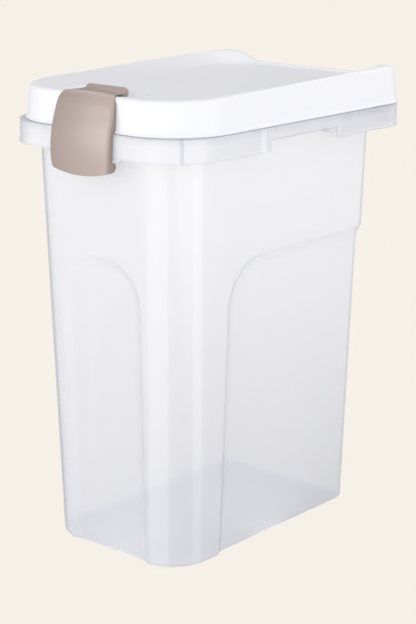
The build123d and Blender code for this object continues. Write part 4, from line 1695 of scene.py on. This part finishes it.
@dataclass
class Studio:
    """The pale floor, the soft lights and the camera. Metres."""

    floor_radius: float = 14.0
    floor_glow: float = 0.44
    floor_share: float = 0.08
    floor_level: float = 1.015
    floor_drop: float = 0.0005
    sky: float = 0.86
    bright_side: float = -48.0
    contrast: float = 0.38
    band_tightness: float = 60.0
    # Each band's bearing in degrees and its strength; the camera's place and axis; its lens in millimetres.
    bands: tuple[tuple[float, float], ...] = ((-86.0, 1.15), (5.0, 1.1), (-118.0, 0.35))
    camera_place: tuple[float, float, float] = (1.038435, -1.182134, 0.639037)
    camera_forward: tuple[float, float, float] = (-0.637827, 0.725912, -0.257349)
    lens: float = 97.443
    shift_x: float = 0.009448
    shift_y: float = -0.021207
    lights: tuple[AreaLight, ...] = (
        AreaLight("front_strip", (0.1, -2.6, 0.95), (1.3, 1.9), 1.5),
        AreaLight("latch_light", (-1.35, -2.1, 0.72), (0.5, 0.8), 6.2, (0.0, -0.16, 0.40)),
        AreaLight("side_strip", (2.7, 0.25, 0.95), (0.8, 1.9), 3.0),
        AreaLight("back_strip", (0.85, 2.3, 2.1), (1.4, 1.2), 7.0),
    )

    def floor(self) -> None:
        """A flat round floor, its rings spaced by squares so that its middle is fine; seen as even backdrop."""
        rows, columns = 13, 64
        radius = self.floor_radius * np.linspace(0, 1, rows + 1)[1:, None] ** 2 / MM
        angle = np.linspace(0, TAU, columns + 1)[:-1]
        rings = xyz(radius * np.cos(angle), radius * np.sin(angle), 0.0)
        ring = np.arange(columns)
        fan = np.stack([ring, (ring + 1) % columns, np.full(columns, rows * columns)], axis=1)
        faces = grid_faces(rows, columns, True)[:, ::-1].tolist() + fan.tolist()
        made = Surface(np.vstack([rings.reshape(-1, 3), [(0, 0, 0)]]), faces).make("studio_floor")
        made.location.z = -self.floor_drop
        tree = NodeTree("studio_paper")
        seen = tree.node("ShaderNodeLightPath", {}, {}, "Is Camera Ray")
        shares = (self.floor_share, self.floor_level - self.floor_share)
        lit, glowing = (tuple(share * c for c in Shade.BACKDROP.value) for share in shares)
        unseen = self.surroundings(tree, tree.place(), self.floor_glow)
        tree.set(
            Base_Color=tree.mixed(seen, Shade.PAPER_UNSEEN.value, lit),
            Roughness=0.9,
            Specular_IOR_Level=0.0,
            Emission_Color=tree.mixed(seen, unseen, glowing),
            Emission_Strength=1.0,
        )
        made.data.materials.append(tree.owner)

    def surroundings(self, tree: NodeTree, direction: Socket, level: float) -> Socket:
        """The light from a direction: wide, stronger in front, with a band at each of a few bearings.

        Args:
            tree: The floor's or the world's nodes.
            direction: The direction from the bin.
            level: The mean level.

        Returns:
            Its colour.
        """
        light = tree.lobe(direction, self.bright_side, 1.0) * (2 * self.contrast) + (1.0 - self.contrast)
        for bearing, strength in self.bands:
            light = light + tree.lobe(direction, bearing, self.band_tightness) * strength
        return tree.vector("SCALE", {0: Shade.STUDIO_LIGHT.value, "Scale": light * level})

    def world(self) -> None:
        """The surroundings, which the camera sees as an even backdrop."""
        tree = NodeTree("studio_world", True)
        seen = tree.node("ShaderNodeLightPath", {}, {}, "Is Camera Ray")
        direction = tree.node("ShaderNodeTexCoord", {}, {}, "Generated")
        tree.set(Color=tree.mixed(seen, self.surroundings(tree, direction, self.sky), Shade.BACKDROP.value))
        bpy.context.scene.world = tree.owner
        bpy.context.scene.view_settings.view_transform = "Standard"

    def camera(self) -> None:
        """The photograph's camera: level, at its place, looking along its axis."""
        data = bpy.data.cameras.new("photo_camera")
        data.sensor_fit, data.sensor_width, data.lens = "AUTO", 36.0, self.lens
        data.shift_x, data.shift_y = self.shift_x, self.shift_y
        data.clip_start, data.clip_end = 0.05, 60.0
        camera = bpy.data.objects.new("photo_camera", data)
        stand(camera, self.camera_place, Vector(self.camera_forward))
        bpy.context.scene.camera = camera

    def build(self) -> None:
        """Sets the stage."""
        self.floor()
        self.world()
        for light in self.lights:
            light.build()
        self.camera()


def main() -> None:
    """Builds the bin's pieces in order, then the studio."""
    logging.basicConfig(level=logging.INFO, format="%(name)s: %(message)s")
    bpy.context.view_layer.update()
    tub = Tub()
    tub.build()
    Lid().build(tub)
    Latch().build()
    Pins().build()
    Studio().build()


if __name__ == "__main__":
    main()
